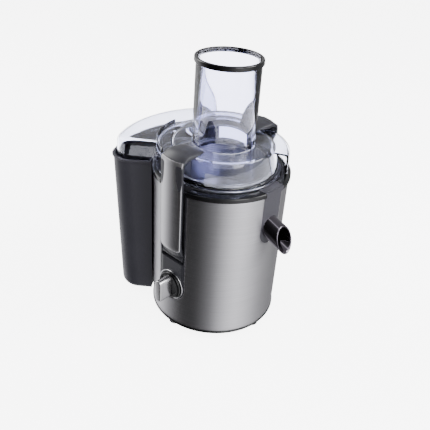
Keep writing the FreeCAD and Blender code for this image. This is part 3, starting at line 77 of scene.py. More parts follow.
# %% A mesh piece
def shell(name, points, faces, material, body, stands_for=(), uv=None, sharp=40.0):
    """Object from points and faces: doubles merged, faces turned outwards, creases above `sharp` kept.

    `sharp` is in degrees. With uv, one coordinate pair per point is stored before anything is merged, so a
    pattern follows the surface.
    """
    mesh = bpy.data.meshes.new(name)
    corner_lists = [list(map(int, face)) for face in faces]
    mesh.from_pydata(np.asarray(points).reshape(-1, 3).tolist(), [], corner_lists)
    if uv is not None:
        corner_points = np.zeros(len(mesh.loops), dtype=np.int32)
        mesh.loops.foreach_get("vertex_index", corner_points)
        layer = mesh.uv_layers.new(name="surface")
        layer.data.foreach_set("uv", np.asarray(uv).reshape(-1, 2)[corner_points].ravel())
    edit = bmesh.new()
    edit.from_mesh(mesh)
    bmesh.ops.remove_doubles(edit, verts=edit.verts, dist=1e-6)
    bmesh.ops.dissolve_degenerate(edit, edges=edit.edges, dist=1e-6)
    bmesh.ops.recalc_face_normals(edit, faces=edit.faces)
    for edge in edit.edges:
        edge.smooth = len(edge.link_faces) != 2 or edge.calc_face_angle(0.0) < math.radians(sharp)
    for face in edit.faces:
        face.smooth = True
    edit.to_mesh(mesh)
    edit.free()
    mesh.materials.append(material)
    piece = bpy.data.objects.new(name, mesh)
    bpy.context.scene.collection.objects.link(piece)
    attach(piece, body)
    if stands_for:
        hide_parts(*stands_for)
    print(name, "faces", len(mesh.polygons), "rides on", body)
    return piece


# %% Rounded outlines
NEARLY_STRAIGHT = 1.55      # half a corner's angle in radians, above which it needs no arc


def rounded(corners, radii, steps=5):
    """Closed outline whose corners are arcs.

    Each arc of radius r starts r / tan(half the corner's angle) from the corner along both sides, which is
    where a circle of radius r touches them, or at most 45 % along the shorter side.
    """
    corners = np.asarray(corners, float)
    radii = np.broadcast_to(radii, len(corners))
    arcs = []
    for before, here, after, radius in zip(np.roll(corners, 1, 0), corners, np.roll(corners, -1, 0), radii):
        to_before, to_after = before - here, after - here
        side_a, side_b = np.linalg.norm(to_before), np.linalg.norm(to_after)
        to_before, to_after = to_before / side_a, to_after / side_b
        half = math.acos(np.clip(to_before @ to_after, -1.0, 1.0)) / 2.0
        if radius <= 0.0 or half > NEARLY_STRAIGHT:
            arcs.append(here[None])
            continue
        reach = min(radius / math.tan(half), 0.45 * min(side_a, side_b))
        inward = (to_before + to_after) / np.linalg.norm(to_before + to_after)
        middle = here + inward * reach / math.cos(half)
        start, end = here + to_before * reach - middle, here + to_after * reach - middle
        share = np.linspace(0.0, 1.0, steps + 1)[:, None]
        span = math.pi - 2.0 * half
        arc = np.sin((1.0 - share) * span) * start + np.sin(share * span) * end
        arcs.append(middle + arc / math.sin(span))
    return np.concatenate(arcs)


# %% Turned shells
def turned(outline, start=0.0, end=360.0, count=144):
    """Points of an outline of (radius, height) swept about Z: x = r cos a, y = r sin a.

    The start and end angles, in degrees, may differ from point to point, so that a gap keeps parallel sides.
    """
    outline = np.asarray(outline, float)
    start = np.radians(np.broadcast_to(start, len(outline)))
    end = np.radians(np.broadcast_to(end, len(outline)))
    share = np.linspace(0.0, 1.0, count + 1)[:, None]
    angle = start + share * (end - start)
    height = np.broadcast_to(outline[:, 1], angle.shape)
    return np.stack([outline[:, 0] * np.cos(angle), outline[:, 0] * np.sin(angle), height], axis=-1)


def swept(outline, degrees):
    """Points of an outline of (radius, height) at each of these angles about Z."""
    angle = np.radians(degrees)
    return np.stack([np.outer(np.cos(angle), outline[:, 0]), np.outer(np.sin(angle), outline[:, 0]),
                     np.tile(outline[:, 1], (len(angle), 1))], axis=-1)


def turned_faces(points, capped=False):
    """Faces of a stack of closed outlines; `capped` closes it with its first and last outline."""
    rows, columns = points.shape[:2]
    faces = [tuple(face) for face in grid_faces(rows, columns, ring=True)]
    if capped:
        faces.append(tuple(range(columns)))
        faces.append(tuple(range((rows - 1) * columns, rows * columns)))
    return faces


# %% [markdown]
# ## Helpers for materials
#
# Colours are written as sRGB hex, as a maker's sample card gives them, and one function turns them to the
# linear values that shaders use. A pattern's scale is worked out from its real size in millimetres: a noise
# texture of scale s has features about 1/s metres across.


# %% Colour and node helpers
def linear(hex_colour):
    """sRGB hex to linear RGBA: c / 12.92 below 0.04045, else ((c + 0.055) / 1.055) to the power 2.4."""
    levels = np.array([int(hex_colour[i:i + 2], 16) for i in (1, 3, 5)]) / 255.0
    levels = np.where(levels <= 0.04045, levels / 12.92, ((levels + 0.055) / 1.055) ** 2.4)
    return (*levels, 1.0)


def add_node(material, kind, settings=None, **sockets):
    """One node with its settings; a socket gets a value, or a link when it is given another node's output."""
    node = material.node_tree.nodes.new(kind)
    for key, value in (settings or {}).items():
        setattr(node, key, value)
    for socket, value in sockets.items():
        by_place = socket[1:].isdigit()
        target = node.inputs[int(socket[1:]) if by_place else socket.replace("_", " ")]
        if isinstance(value, bpy.types.NodeSocket):
            material.node_tree.links.new(value, target)
        else:
            target.default_value = value
    return node


def finish_material(name, colour, **sockets):
    """A material with one Principled shader of this base colour; other sockets are set on the shader."""
    material = bpy.data.materials.new(name)
    material.use_nodes = True
    shader = material.node_tree.nodes["Principled BSDF"]
    shader.inputs["Base Color"].default_value = linear(colour)
    for socket, value in sockets.items():
        shader.inputs[socket.replace("_", " ")].default_value = value
    return material, shader


def per_mm(size):
    """Texture scale whose features are this many millimetres across."""
    return 1.0 / (size * MM)


# %% [markdown]
# ## Brushed aluminium
#
# The drum's wrap is a sheet of aluminium that was brushed along its length before it was rolled, so its
# scratches run round the drum. They are far finer than a picture shows, so they are drawn a little coarser: a
# noise that is 100 times longer along the sheet than across it. The scratches spread a highlight across
# themselves, which the shader's anisotropy gives, and that is why the drum shows upright bands of light.


# %% Brushed aluminium
def brushed_aluminium(name, colour, across_mm, along_mm, roughness, turn):
    """Aluminium brushed along u of the piece's own UV map, which is in metres."""
    material, shader = finish_material(name, colour, Metallic=1.0, Roughness=roughness, Anisotropic=0.75,
                                       Anisotropic_Rotation=turn)
    place = add_node(material, "ShaderNodeUVMap", {"uv_map": "surface"})
    stretch = add_node(material, "ShaderNodeMapping", Vector=place.outputs[0],
                       Scale=(per_mm(along_mm), per_mm(across_mm), 1.0))
    scratch = add_node(material, "ShaderNodeTexNoise", Vector=stretch.outputs[0], Scale=1.0, Detail=5.0,
                       Roughness=0.7)
    tone = add_node(material, "ShaderNodeMapRange", _0=scratch.outputs[0], _1=0.3, _2=0.7, _3=0.86, _4=1.1)
    base = linear(colour)
    mixed = add_node(material, "ShaderNodeVectorMath", {"operation": "SCALE"}, _0=base[:3],
                     Scale=tone.outputs[0])
    rough = add_node(material, "ShaderNodeMapRange", _0=scratch.outputs[0], _1=0.25, _2=0.75,
                     _3=roughness - 0.05, _4=roughness + 0.07)
    bump = add_node(material, "ShaderNodeBump", Strength=0.12, Distance=0.02 * MM, Height=scratch.outputs[0])
    tangent = add_node(material, "ShaderNodeTangent", {"direction_type": "RADIAL", "axis": "Z"})
    link = material.node_tree.links.new
    link(mixed.outputs[0], shader.inputs["Base Color"])
    link(rough.outputs[0], shader.inputs["Roughness"])
    link(bump.outputs[0], shader.inputs["Normal"])
    link(tangent.outputs[0], shader.inputs["Tangent"])
    return material


drum_aluminium = brushed_aluminium("aluminium_brushed_round", "#b9b8bb", 0.9, 90.0, 0.36, 0.25)
clamp_aluminium = brushed_aluminium("aluminium_brushed_clamp", "#c6c5c8", 0.8, 60.0, 0.38, 0.25)
print("aluminium:", drum_aluminium.name, clamp_aluminium.name)

# %% [markdown]
# ## Moulded plastics and rubber
#
# ABS comes out of its tool either glossy, where the tool was polished, or satin, where the tool was etched
# with a fine grain. The eye sees the grain as a soft, slightly uneven sheen. One function gives both: a
# grain of real size for the bump, and slow patches, as handling leaves, for the roughness.


# %% Moulded plastic
def moulded(name, colour, roughness, grain_mm, depth_mm, uneven=0.05, **sockets):
    """Plastic or rubber with a tool's grain and slow patches of sheen; patches are 40 mm across."""
    material, shader = finish_material(name, colour, Roughness=roughness, **sockets)
    place = add_node(material, "ShaderNodeTexCoord")
    grain = add_node(material, "ShaderNodeTexNoise", Vector=place.outputs["Object"], Scale=per_mm(grain_mm),
                     Detail=3.0, Roughness=0.6)
    patches = add_node(material, "ShaderNodeTexNoise", Vector=place.outputs["Object"], Scale=per_mm(40.0),
                       Detail=2.0)
    bump = add_node(material, "ShaderNodeBump", Strength=0.5, Distance=depth_mm * MM, Height=grain.outputs[0])
    rough = add_node(material, "ShaderNodeMapRange", _0=patches.outputs[0], _1=0.3, _2=0.7,
                     _3=max(roughness - uneven, 0.02), _4=roughness + uneven)
    tone = add_node(material, "ShaderNodeMapRange", _0=grain.outputs[0], _1=0.3, _2=0.7, _3=0.93, _4=1.07)
    tinted = add_node(material, "ShaderNodeVectorMath", {"operation": "SCALE"}, _0=linear(colour)[:3],
                      Scale=tone.outputs[0])
    link = material.node_tree.links.new
    link(tinted.outputs[0], shader.inputs["Base Color"])
    link(bump.outputs[0], shader.inputs["Normal"])
    link(rough.outputs[0], shader.inputs["Roughness"])
    return material


black_gloss = moulded("abs_black_polished", "#0b0b0d", 0.12, 1.5, 0.004, 0.03)
charcoal = moulded("abs_charcoal_satin", "#3b3a42", 0.42, 0.9, 0.03)
# Clamp grey: partly the strap's own colour, partly painted shade for the clamp's dark top and side.
clamp_grey_and_shade = moulded("abs_grey_satin_and_painted_shade", "#303036", 0.42, 0.9, 0.03)
panel_grey = moulded("abs_panel_grey", "#46454c", 0.40, 0.9, 0.03)
# Black etched ABS for the inner parts; the screws' black crosses also use it, where it is painted shade for
# their recess.
inner_black_and_recess_shade = moulded("abs_black_etched_and_recess_shade", "#161618", 0.50, 0.8, 0.04)
rubber = moulded("rubber_black", "#121212", 0.75, 0.6, 0.05)
natural_pom = moulded("pom_natural", "#dcdad2", 0.35, 1.2, 0.01)
phenolic = moulded("phenolic_dark", "#2a1d15", 0.45, 1.0, 0.02)
board_green = moulded("laminate_green", "#1c4a2b", 0.30, 1.5, 0.02)
capacitor_yellow = moulded("capacitor_case", "#c9a62f", 0.30, 2.0, 0.01)
graphite = moulded("graphite_pressed", "#1c1c1e", 0.55, 0.5, 0.03, Metallic=0.2)
print("plastics made:", len([m for m in bpy.data.materials if m.name.startswith("abs")]))

# %% [markdown]
# ## Metals
#
# Stainless steel that was drawn or stamped keeps faint grain in no one direction, and turned or ground pins
# are brighter. Copper wire is wound in layers, so its coils get fine slanting ribs. Metals keep the shader's
# own index of refraction.


# %% Plain metals
def metal(name, colour, roughness, grain_mm, depth_mm):
    """Metal with fine grain in its roughness and bump."""
    material, shader = finish_material(name, colour, Metallic=1.0, Roughness=roughness)
    place = add_node(material, "ShaderNodeTexCoord")
    grain = add_node(material, "ShaderNodeTexNoise", Vector=place.outputs["Object"], Scale=per_mm(grain_mm),
                     Detail=4.0, Roughness=0.65)
    rough = add_node(material, "ShaderNodeMapRange", _0=grain.outputs[0], _1=0.3, _2=0.7,
                     _3=max(roughness - 0.06, 0.03), _4=roughness + 0.08)
    bump = add_node(material, "ShaderNodeBump", Strength=0.4, Distance=depth_mm * MM, Height=grain.outputs[0])
    link = material.node_tree.links.new
    link(rough.outputs[0], shader.inputs["Roughness"])
    link(bump.outputs[0], shader.inputs["Normal"])
    return material


def wound_wire(name, colour, wire_mm):
    """Enamelled wire in layers: slanting bands, drawn over twice as wide as the wire so that they show."""
    material, shader = finish_material(name, colour, Metallic=1.0, Roughness=0.28)
    place = add_node(material, "ShaderNodeTexCoord")
    turns = add_node(material, "ShaderNodeTexWave", {"bands_direction": "DIAGONAL"},
                     Vector=place.outputs["Object"], Scale=per_mm(wire_mm) / (2.0 * math.pi), Distortion=1.5)
    bump = add_node(material, "ShaderNodeBump", Strength=0.8, Distance=0.3 * wire_mm * MM,
                    Height=turns.outputs[1])
    material.node_tree.links.new(bump.outputs[0], shader.inputs["Normal"])
    return material


stainless = metal("steel_stainless_drawn", "#b9b9bb", 0.24, 1.2, 0.01)
ground_steel = metal("steel_ground", "#c8c8ca", 0.16, 0.8, 0.005)
zinc_steel = metal("steel_zinc_plated", "#b4b6ba", 0.32, 0.8, 0.01)
chrome = metal("chrome_polished", "#d6d6d8", 0.07, 2.0, 0.002)
spout_dark = metal("spout_dark_mirror", "#77727a", 0.10, 1.5, 0.002)
satin_aluminium = metal("aluminium_satin", "#c9c8ca", 0.26, 0.7, 0.008)
cast_aluminium = metal("aluminium_cast", "#9a9a9c", 0.48, 1.0, 0.08)
lamination_steel = metal("steel_laminations", "#55565a", 0.45, 0.6, 0.03)
brass = metal("brass_stamped", "#b8934a", 0.25, 0.8, 0.01)
copper = metal("copper_turned", "#b8733f", 0.22, 0.6, 0.01)
copper_wire = wound_wire("copper_wire", "#a4532b", 0.8)
print("materials so far:", len(bpy.data.materials))

# %% [markdown]
# ## Clear plastic
#
# The lid and tube are SAN, a clear plastic with a little blue-violet in it, so that its thick edges look
# indigo. The walls are real shells here, so light bends at both faces. The tint is taken once at each face,
# so it deepens where several walls lie behind one another. SAN bends light with an index of 1.57; a lower
# 1.49 is used, which gives the many nested walls fainter reflections.


# %% Clear plastic
CLEAR_INDEX = 1.49


def clear_plastic(name, colour, roughness):
    """Clear SAN; slow waves in its surface, 12 mm across, are what the tool leaves in a moulded wall."""
    material, shader = finish_material(name, colour, Roughness=roughness, IOR=CLEAR_INDEX)
    shader.inputs["Transmission Weight"].default_value = 1.0
    place = add_node(material, "ShaderNodeTexCoord")
    waves = add_node(material, "ShaderNodeTexNoise", Vector=place.outputs["Object"], Scale=per_mm(12.0),
                     Detail=1.0)
    bump = add_node(material, "ShaderNodeBump", Strength=0.15, Distance=0.05 * MM, Height=waves.outputs[0])
    material.node_tree.links.new(bump.outputs[0], shader.inputs["Normal"])
    return material


clear_lid = clear_plastic("san_clear_lid", "#e9ebf8", 0.03)
clear_tube = clear_plastic("san_clear_tube", "#e6e7f8", 0.02)
print("clear plastics:", clear_lid.name, clear_tube.name)

# %% [markdown]
# ## Drum wrap
#
# One sheet goes all the way round, with three U-shaped slots cut into its top edge: two for the clamps and
# one for the spout. A Boolean would cut them too, but it leaves long thin faces that spoil the brushing. So
# the sheet is a grid in angle and height instead. Under a slot each column of points ends on the slot's
# round bottom, and between slots it runs to the top.

# %% Drum wrap
wrap_low_corner, wrap_high_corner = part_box("drum_wrap")
DRUM_RADIUS = -wrap_low_corner.x
WRAP_LOW = wrap_low_corner.z
WRAP_TOP = wrap_high_corner.z
WRAP_GAUGE = 1.2 * MM
CLAMP_SLOT = (23.0 * MM, 72.0 * MM)     # half-width, height of the round end's centre
SPOUT_SLOT = (17.0 * MM, 164.0 * MM)
SLOTS = ((-90.0, CLAMP_SLOT), (0.0, SPOUT_SLOT), (90.0, CLAMP_SLOT))


def slot_reach(radius, half_width):
    """Angle in degrees from a slot's middle to its side at this radius: arcsin(half-width / radius)."""
    return np.degrees(np.arcsin(half_width / radius))


def wrap_levels(top):
    """Heights of the sheet's rows up to one that a slot starts from, the same in every panel."""
    levels = np.concatenate([np.linspace(WRAP_LOW, CLAMP_SLOT[1], 17),
                             np.linspace(CLAMP_SLOT[1], SPOUT_SLOT[1], 17)[1:],
                             np.linspace(SPOUT_SLOT[1], WRAP_TOP, 12)[1:]])
    return levels[levels <= top + 1e-9]


def wrap_panel(angles, tops, top_level):
    """Grid over angle and height; each column is stretched so that its last row lies on `tops`."""
    levels = wrap_levels(top_level)
    share = (levels - WRAP_LOW) / (top_level - WRAP_LOW)
    height = WRAP_LOW + share[:, None] * (tops - WRAP_LOW)[None, :]
    angle = np.broadcast_to(np.radians(angles), height.shape)
    points = np.stack([DRUM_RADIUS * np.cos(angle), DRUM_RADIUS * np.sin(angle), height], axis=-1)
    return points, np.stack([angle * DRUM_RADIUS, height], axis=-1)


STRIP_COLUMNS = 61
panels = []
for index, (middle, (half_width, centre)) in enumerate(SLOTS):
    offset = half_width * np.sin(np.linspace(-math.pi / 2.0, math.pi / 2.0, 33))
    bottom = centre - np.sqrt(np.maximum(half_width ** 2 - offset ** 2, 0.0))
    panels.append(wrap_panel(middle + slot_reach(DRUM_RADIUS, offset), bottom, centre))
    next_middle, (next_half, _) = SLOTS[(index + 1) % len(SLOTS)]
    next_middle += 360.0 if next_middle < middle else 0.0
    across = np.linspace(middle + slot_reach(DRUM_RADIUS, half_width),
                         next_middle - slot_reach(DRUM_RADIUS, next_half), STRIP_COLUMNS)
    panels.append(wrap_panel(across, np.full(STRIP_COLUMNS, WRAP_TOP), WRAP_TOP))
wrap_points, wrap_uv, wrap_faces, first = [], [], [], 0
for points, uv in panels:
    wrap_points.append(points.reshape(-1, 3))
    wrap_uv.append(uv.reshape(-1, 2))
    wrap_faces.extend(grid_faces(*points.shape[:2]) + first)
    first += points.shape[0] * points.shape[1]
wrap = shell("wrap_sheet", np.concatenate(wrap_points), wrap_faces, drum_aluminium, "housing", ["drum_wrap"],
             np.concatenate(wrap_uv))
thickness = wrap.modifiers.new("gauge", "SOLIDIFY")
thickness.thickness = WRAP_GAUGE
thickness.offset = -1.0
edge = wrap.modifiers.new("edge", "BEVEL")
edge.width = 0.25 * MM
edge.segments = 2
edge.limit_method = "ANGLE"
edge.angle_limit = math.radians(50.0)
print("drum radius", round(DRUM_RADIUS, 4), "m, wrap", round(WRAP_LOW, 4), "to", round(WRAP_TOP, 4), "m")

# %% [markdown]
# ## Collar and base trim
#
# Above the wrap sits a polished black collar, broken by the same three slots, and below it a thin black trim
# ring. Both are turned outlines with rounded corners, because a polished edge is seen by the line of light
# along it.

# %% Collar and trim
collar_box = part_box("top_collar")
COLLAR_RADIUS = -collar_box[0].x
COLLAR_BORE = 77.8 * MM
collar_outline = rounded([
    (COLLAR_BORE, collar_box[0].z), (COLLAR_RADIUS, collar_box[0].z),
    (COLLAR_RADIUS, collar_box[1].z - 0.4 * MM), (COLLAR_BORE, collar_box[1].z)],
    [0.4 * MM, 0.6 * MM, 1.6 * MM, 0.8 * MM])
collar_points, collar_faces, first = [], [], 0
for index, (middle, (half_width, _)) in enumerate(SLOTS):
    next_middle, (next_half, _) = SLOTS[(index + 1) % len(SLOTS)]
    next_middle += 360.0 if next_middle < middle else 0.0
    points = turned(collar_outline, middle + slot_reach(collar_outline[:, 0], half_width),
                    next_middle - slot_reach(collar_outline[:, 0], next_half), 60)
    collar_faces.extend(tuple(np.add(face, first)) for face in turned_faces(points, capped=True))
    collar_points.append(points.reshape(-1, 3))
    first += points.shape[0] * points.shape[1]
shell("collar_ring", np.concatenate(collar_points), collar_faces, black_gloss, "housing", ["top_collar"])

trim_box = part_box("base_trim")
TRIM_RADIUS, TRIM_WALL = trim_box[1].x, 3.0 * MM
trim_outline = rounded([
    (TRIM_RADIUS - TRIM_WALL, trim_box[0].z), (TRIM_RADIUS - 0.6 * MM, trim_box[0].z),
    (TRIM_RADIUS, trim_box[0].z + 1.2 * MM), (TRIM_RADIUS, trim_box[1].z),
    (TRIM_RADIUS - TRIM_WALL, trim_box[1].z)], [0.0, 0.8 * MM, 0.8 * MM, 0.6 * MM, 0.0])
trim_points = turned(trim_outline, count=180)
shell("trim_ring", trim_points, turned_faces(trim_points), black_gloss, "housing", ["base_trim"])

# %% [markdown]
# ## Lid
#
# The clear lid is one moulding: a dome over the sieve, a slightly lower shroud outside it, an upright fin on
# the shroud beside the near clamp, and a crescent cover over the pulp container. The pulp leaves through an
# opening in the dome's and the shroud's walls. Each wall is a closed outline swept about the axis. The
# opening is made by leaving out the faces inside it and joining the two faces of the wall along its rim, so
# that the shell stays closed.


# %% Shells with an opening
def pierced(outline, angles, outer, inner, opening):
    """Faces of a shell swept about Z with a window in it.

    outer and inner are matching runs of outline points on the wall's two faces, and opening is the first and
    last row of the window. Quads inside the window are left out and its rim is bridged, outer to inner.
    """
    rows, columns = len(angles), len(outline)
    low, high = opening
    faces = []
    for face in grid_faces(rows, columns, ring=True):
        row, column = divmod(int(face[0]), columns)
        in_window = low <= row < high
        if in_window and (column in outer[:-1] or column in inner[1:]):
            continue
        faces.append(tuple(int(corner) for corner in face))
    for row in range(low, high):
        for a, b in ((outer[0], inner[0]), (outer[-1], inner[-1])):
            here, above = row * columns, (row + 1) * columns
            faces.append((here + a, above + a, above + b, here + b))
    for here in (low * columns, high * columns):
        for a, a_next, b, b_next in zip(outer[:-1], outer[1:], inner[:-1], inner[1:]):
            faces.append((here + a, here + a_next, here + b_next, here + b))
    return faces


def window_rows(angles, middle, half):
    """First and last row whose angle lies inside the window."""
    inside = np.nonzero(np.abs(angles - middle) <= half + 1e-6)[0]
    return int(inside[0]), int(inside[-1])


# %% Dome
LID_TOP = 260.0 * MM
LID_WALL = 2.4 * MM
WINDOW = (232.0 * MM, 247.0 * MM)
WINDOW_HALF = 27.0
TUBE_SEAT = 40.85 * MM
RIM_RADIUS, FLAT_RADIUS = 73.4 * MM, 66.0 * MM
FLANGE_LOW, FLANGE_TOP = 226.3 * MM, 228.0 * MM
FLANGE_RADIUS = 77.5 * MM


def wall_radius(height):
    """Outer radius of the dome's leaning side at a height, on the line from the flange to the flat top."""
    return RIM_RADIUS + (height - FLANGE_TOP) / (LID_TOP - FLANGE_TOP) * (FLAT_RADIUS - RIM_RADIUS)


window_heights = np.linspace(*WINDOW, 4)
outer_wall = [(wall_radius(height), height) for height in window_heights]
inner_wall = [(wall_radius(height) - LID_WALL, height) for height in window_heights[::-1]]
dome_corners = ([(74.0 * MM, 222.5 * MM), (74.0 * MM, FLANGE_LOW), (FLANGE_RADIUS, FLANGE_LOW),
                 (FLANGE_RADIUS, FLANGE_TOP), (RIM_RADIUS, FLANGE_TOP)] + outer_wall
                + [(FLAT_RADIUS, LID_TOP), (TUBE_SEAT, LID_TOP), (TUBE_SEAT, LID_TOP - LID_WALL),
                   (FLAT_RADIUS - LID_WALL + 0.4 * MM, LID_TOP - LID_WALL)] + inner_wall
                + [(RIM_RADIUS - LID_WALL, FLANGE_TOP), (71.6 * MM, 222.5 * MM)])
dome_radii = [0.4, 0.0, 0.6, 0.6, 1.2] + [0.0] * 4 + [3.5, 0.5, 0.5, 2.2] + [0.0] * 4 + [1.0, 0.4]
dome_outline = rounded(dome_corners, np.array(dome_radii) * MM, 4)


def run_of(outline, wanted):
    """Indices of the outline's points at the wanted places, in order."""
    return [int(np.argmin(np.linalg.norm(outline - np.asarray(place), axis=1))) for place in wanted]


dome_angles = np.concatenate([np.linspace(180.0 - WINDOW_HALF, 180.0 + WINDOW_HALF, 31),
                              np.linspace(180.0 + WINDOW_HALF, 540.0 - WINDOW_HALF, 131)[1:]])
dome_points = swept(dome_outline, dome_angles)
dome_faces = pierced(dome_outline, dome_angles, run_of(dome_outline, outer_wall),
                     run_of(dome_outline, inner_wall[::-1]), (0, 30))
shell("lid_dome", dome_points, dome_faces, clear_lid, "housing", ["lid"], sharp=50.0)

# %% Shroud
SHROUD_RADIUS, SHROUD_TOP, SHROUD_LOW = 86.0 * MM, 256.0 * MM, 226.0 * MM
SHROUD_START, SHROUD_END = 25.0, 257.0
ROOF_EDGE = FLAT_RADIUS + 1.2 * MM
shroud_outer = [(SHROUD_RADIUS, height) for height in window_heights]
shroud_inner = [(SHROUD_RADIUS - LID_WALL, height) for height in window_heights[::-1]]
shroud_corners = ([(SHROUD_RADIUS - LID_WALL, SHROUD_LOW), (SHROUD_RADIUS, SHROUD_LOW)] + shroud_outer
                  + [(SHROUD_RADIUS, SHROUD_TOP), (ROOF_EDGE, SHROUD_TOP), (ROOF_EDGE, SHROUD_TOP - LID_WALL),
                     (SHROUD_RADIUS - LID_WALL, SHROUD_TOP - LID_WALL)] + shroud_inner)
shroud_radii = [0.4, 0.4] + [0.0] * 4 + [6.0, 0.5, 0.5, 3.8] + [0.0] * 4
shroud_outline = rounded(shroud_corners, np.array(shroud_radii) * MM, 6)
shroud_angles = np.concatenate([np.linspace(SHROUD_START, 180.0 - WINDOW_HALF, 56),
                                np.linspace(180.0 - WINDOW_HALF, 180.0 + WINDOW_HALF, 31)[1:],
                                np.linspace(180.0 + WINDOW_HALF, SHROUD_END, 26)[1:]])
shroud_points = swept(shroud_outline, shroud_angles)
shroud_faces = pierced(shroud_outline, shroud_angles, run_of(shroud_outline, shroud_outer),
                       run_of(shroud_outline, shroud_inner[::-1]),
                       window_rows(shroud_angles, 180.0, WINDOW_HALF))
shroud_faces.append(tuple(range(len(shroud_outline))))
shroud_faces.append(tuple(range((len(shroud_angles) - 1) * len(shroud_outline),
                                len(shroud_angles) * len(shroud_outline))))
shell("lid_shroud", shroud_points, shroud_faces, clear_lid, "housing", [], sharp=50.0)

# %% [markdown]
# The fin stands on the shroud's edge from the back round to the near clamp. It starts inside the shroud's
# rounded shoulder and lies 0.3 mm within its outer face, so that the two surfaces never share a plane.

# %% Fin beside the near clamp
FIN_LOW, FIN_TOP, FIN_START, FIN_END = 250.5 * MM, 262.0 * MM, 184.0, 250.0
FIN_RADIUS = SHROUD_RADIUS - 0.3 * MM
fin_outline = rounded([
    (SHROUD_RADIUS - LID_WALL, FIN_LOW), (FIN_RADIUS, FIN_LOW), (FIN_RADIUS, FIN_TOP),
    (SHROUD_RADIUS - LID_WALL, FIN_TOP)], [0.0, 0.0, 0.8 * MM, 0.8 * MM], 4)
fin_points = turned(fin_outline, FIN_START, FIN_END, 40)
shell("lid_fin", fin_points, turned_faces(fin_points, capped=True), clear_lid, "housing", [],
      sharp=50.0)

# %% [markdown]
# ## Crescents: pulp cover and pulp container
#
# Seen from above, the container and its cover are the same crescent: an arc against the drum, two straight
# radial ends, a wide front arc, and round corners between them. A shell is a stack of such outlines, each a
# little larger or smaller than the last: up the outside, over the rim and down the inside.


# %% Crescent outline
def crescent(back, outer, half_angle, corner, height, count=12):
    """Closed outline about -X: front path, then the back arc with as many points, so a strip can cap it.

    A corner of radius c that touches the front arc of radius R and a radial end has its centre at distance
    R - c, turned from the end by arcsin(c / (R - c)).
    """
    half = math.radians(half_angle)
    turn = math.asin(corner / (outer - corner))
    start = half - turn
    reach = math.sqrt((outer - corner) ** 2 - corner ** 2)
    end_radius = np.linspace(back, reach, count, endpoint=False)
    side = np.stack([end_radius * math.cos(half), end_radius * math.sin(half)], axis=-1)
    centre = (outer - corner) * np.array([math.cos(start), math.sin(start)])
    round_angle = np.linspace(half + math.pi / 2.0, start, count, endpoint=False)
    bend = centre + corner * np.stack([np.cos(round_angle), np.sin(round_angle)], axis=-1)
    front_angle = np.linspace(start, 0.0, 2 * count + 1)
    front = outer * np.stack([np.cos(front_angle), np.sin(front_angle)], axis=-1)
    half_path = np.concatenate([side, bend, front])
    path = np.concatenate([half_path, half_path[-2::-1] * (1.0, -1.0)])
    back_angle = np.linspace(-half, half, len(path))
    back_arc = back * np.stack([np.cos(back_angle), np.sin(back_angle)], axis=-1)
    ring = -np.concatenate([path, back_arc])
    return np.column_stack([ring, np.full(len(ring), height)])


def cap_strip(ring_size, row):
    """Quads across one crescent outline, from its front path to its back arc."""
    half = ring_size // 2
    base = row * ring_size
    last = base + ring_size - 1
    return [(base + i, base + i + 1, last - 1 - i, last - i) for i in range(half - 1)]


# %% Pulp cover
BIN_CORNER, MEAN_RADIUS = 26.0 * MM, 115.0 * MM
COVER_LEAN, COVER_CORNER, CORNER_GIVE = 1.5 * MM, BIN_CORNER - 3.8 * MM, 6.0 * MM
COVER_OUTER, COVER_HALF, COVER_BACK = 144.2 * MM, 41.0, 85.6 * MM
COVER_LOW, COVER_TOP, COVER_ROUND = 219.5 * MM, 250.0 * MM, 9.0 * MM


def cover_ring(inset, height):
    """Outline of the cover drawn in by `inset` on every side but its back."""
    lean = COVER_LEAN * (height - COVER_LOW) / (COVER_TOP - COVER_LOW)
    half = COVER_HALF - math.degrees(inset / MEAN_RADIUS)
    corner = COVER_CORNER - min(inset, CORNER_GIVE)
    return crescent(COVER_BACK, COVER_OUTER - inset - lean, half, corner, height)


def round_steps(radius, top, steps, inset=0.0):
    """Heights and insets of a fillet of this radius: inset r (1 - cos a), height top - r (1 - sin a)."""
    angle = np.linspace(0.0, math.pi / 2.0, steps + 1)
    return [(inset + radius * (1.0 - math.cos(a)), top - radius * (1.0 - math.sin(a))) for a in angle]


LIP_ROUND = 0.4 * MM
cover_rings = [cover_ring(LID_WALL, COVER_LOW), cover_ring(LIP_ROUND, COVER_LOW),
               cover_ring(0.0, COVER_LOW + LIP_ROUND)]
cover_rings += [cover_ring(0.0, height) for height in np.linspace(224.0 * MM, 236.0 * MM, 4)]
cover_rings += [cover_ring(*step) for step in round_steps(COVER_ROUND, COVER_TOP, 8)]
cover_outer_rows = len(cover_rings)
ceiling_steps = round_steps(COVER_ROUND - LID_WALL, COVER_TOP - LID_WALL, 6, LID_WALL)
cover_rings += [cover_ring(*step) for step in ceiling_steps[::-1]]
cover_rings += [cover_ring(LID_WALL, height) for height in (236.0 * MM, 228.0 * MM)]
cover_points = np.stack(cover_rings)
cover_size = cover_points.shape[1]
cover_faces = [tuple(face) for face in grid_faces(len(cover_rings), cover_size, ring=True, tube=True)
               if int(face[0]) // cover_size != cover_outer_rows - 1]
cover_faces += cap_strip(cover_size, cover_outer_rows - 1) + cap_strip(cover_size, cover_outer_rows)
back_columns = range(cover_size // 2 - 1, cover_size)
cover_faces = [face for face in cover_faces if not all(int(i) % cover_size in back_columns for i in face)]
# The sheet ends at the shroud: its two faces are bridged along both ends and along the roof's back arc.
roof, ceiling = (cover_outer_rows - 1) * cover_size, cover_outer_rows * cover_size
cover_faces += [(roof + i, roof + i + 1, ceiling + i + 1, ceiling + i) for i in back_columns[1:-1]]
for column in (0, cover_size // 2 - 1):
    cover_faces.append(tuple(row * cover_size + column for row in range(len(cover_rings))))
shell("lid_pulp_cover", cover_points, cover_faces, clear_lid, "housing", [], sharp=50.0)

# %% [markdown]
# ## Feed tube and its ring
#
# The tube is wide enough for a whole apple and narrows a little towards the top, because a moulded tube has
# to leave its tool. A dark ring is pressed over its top edge.

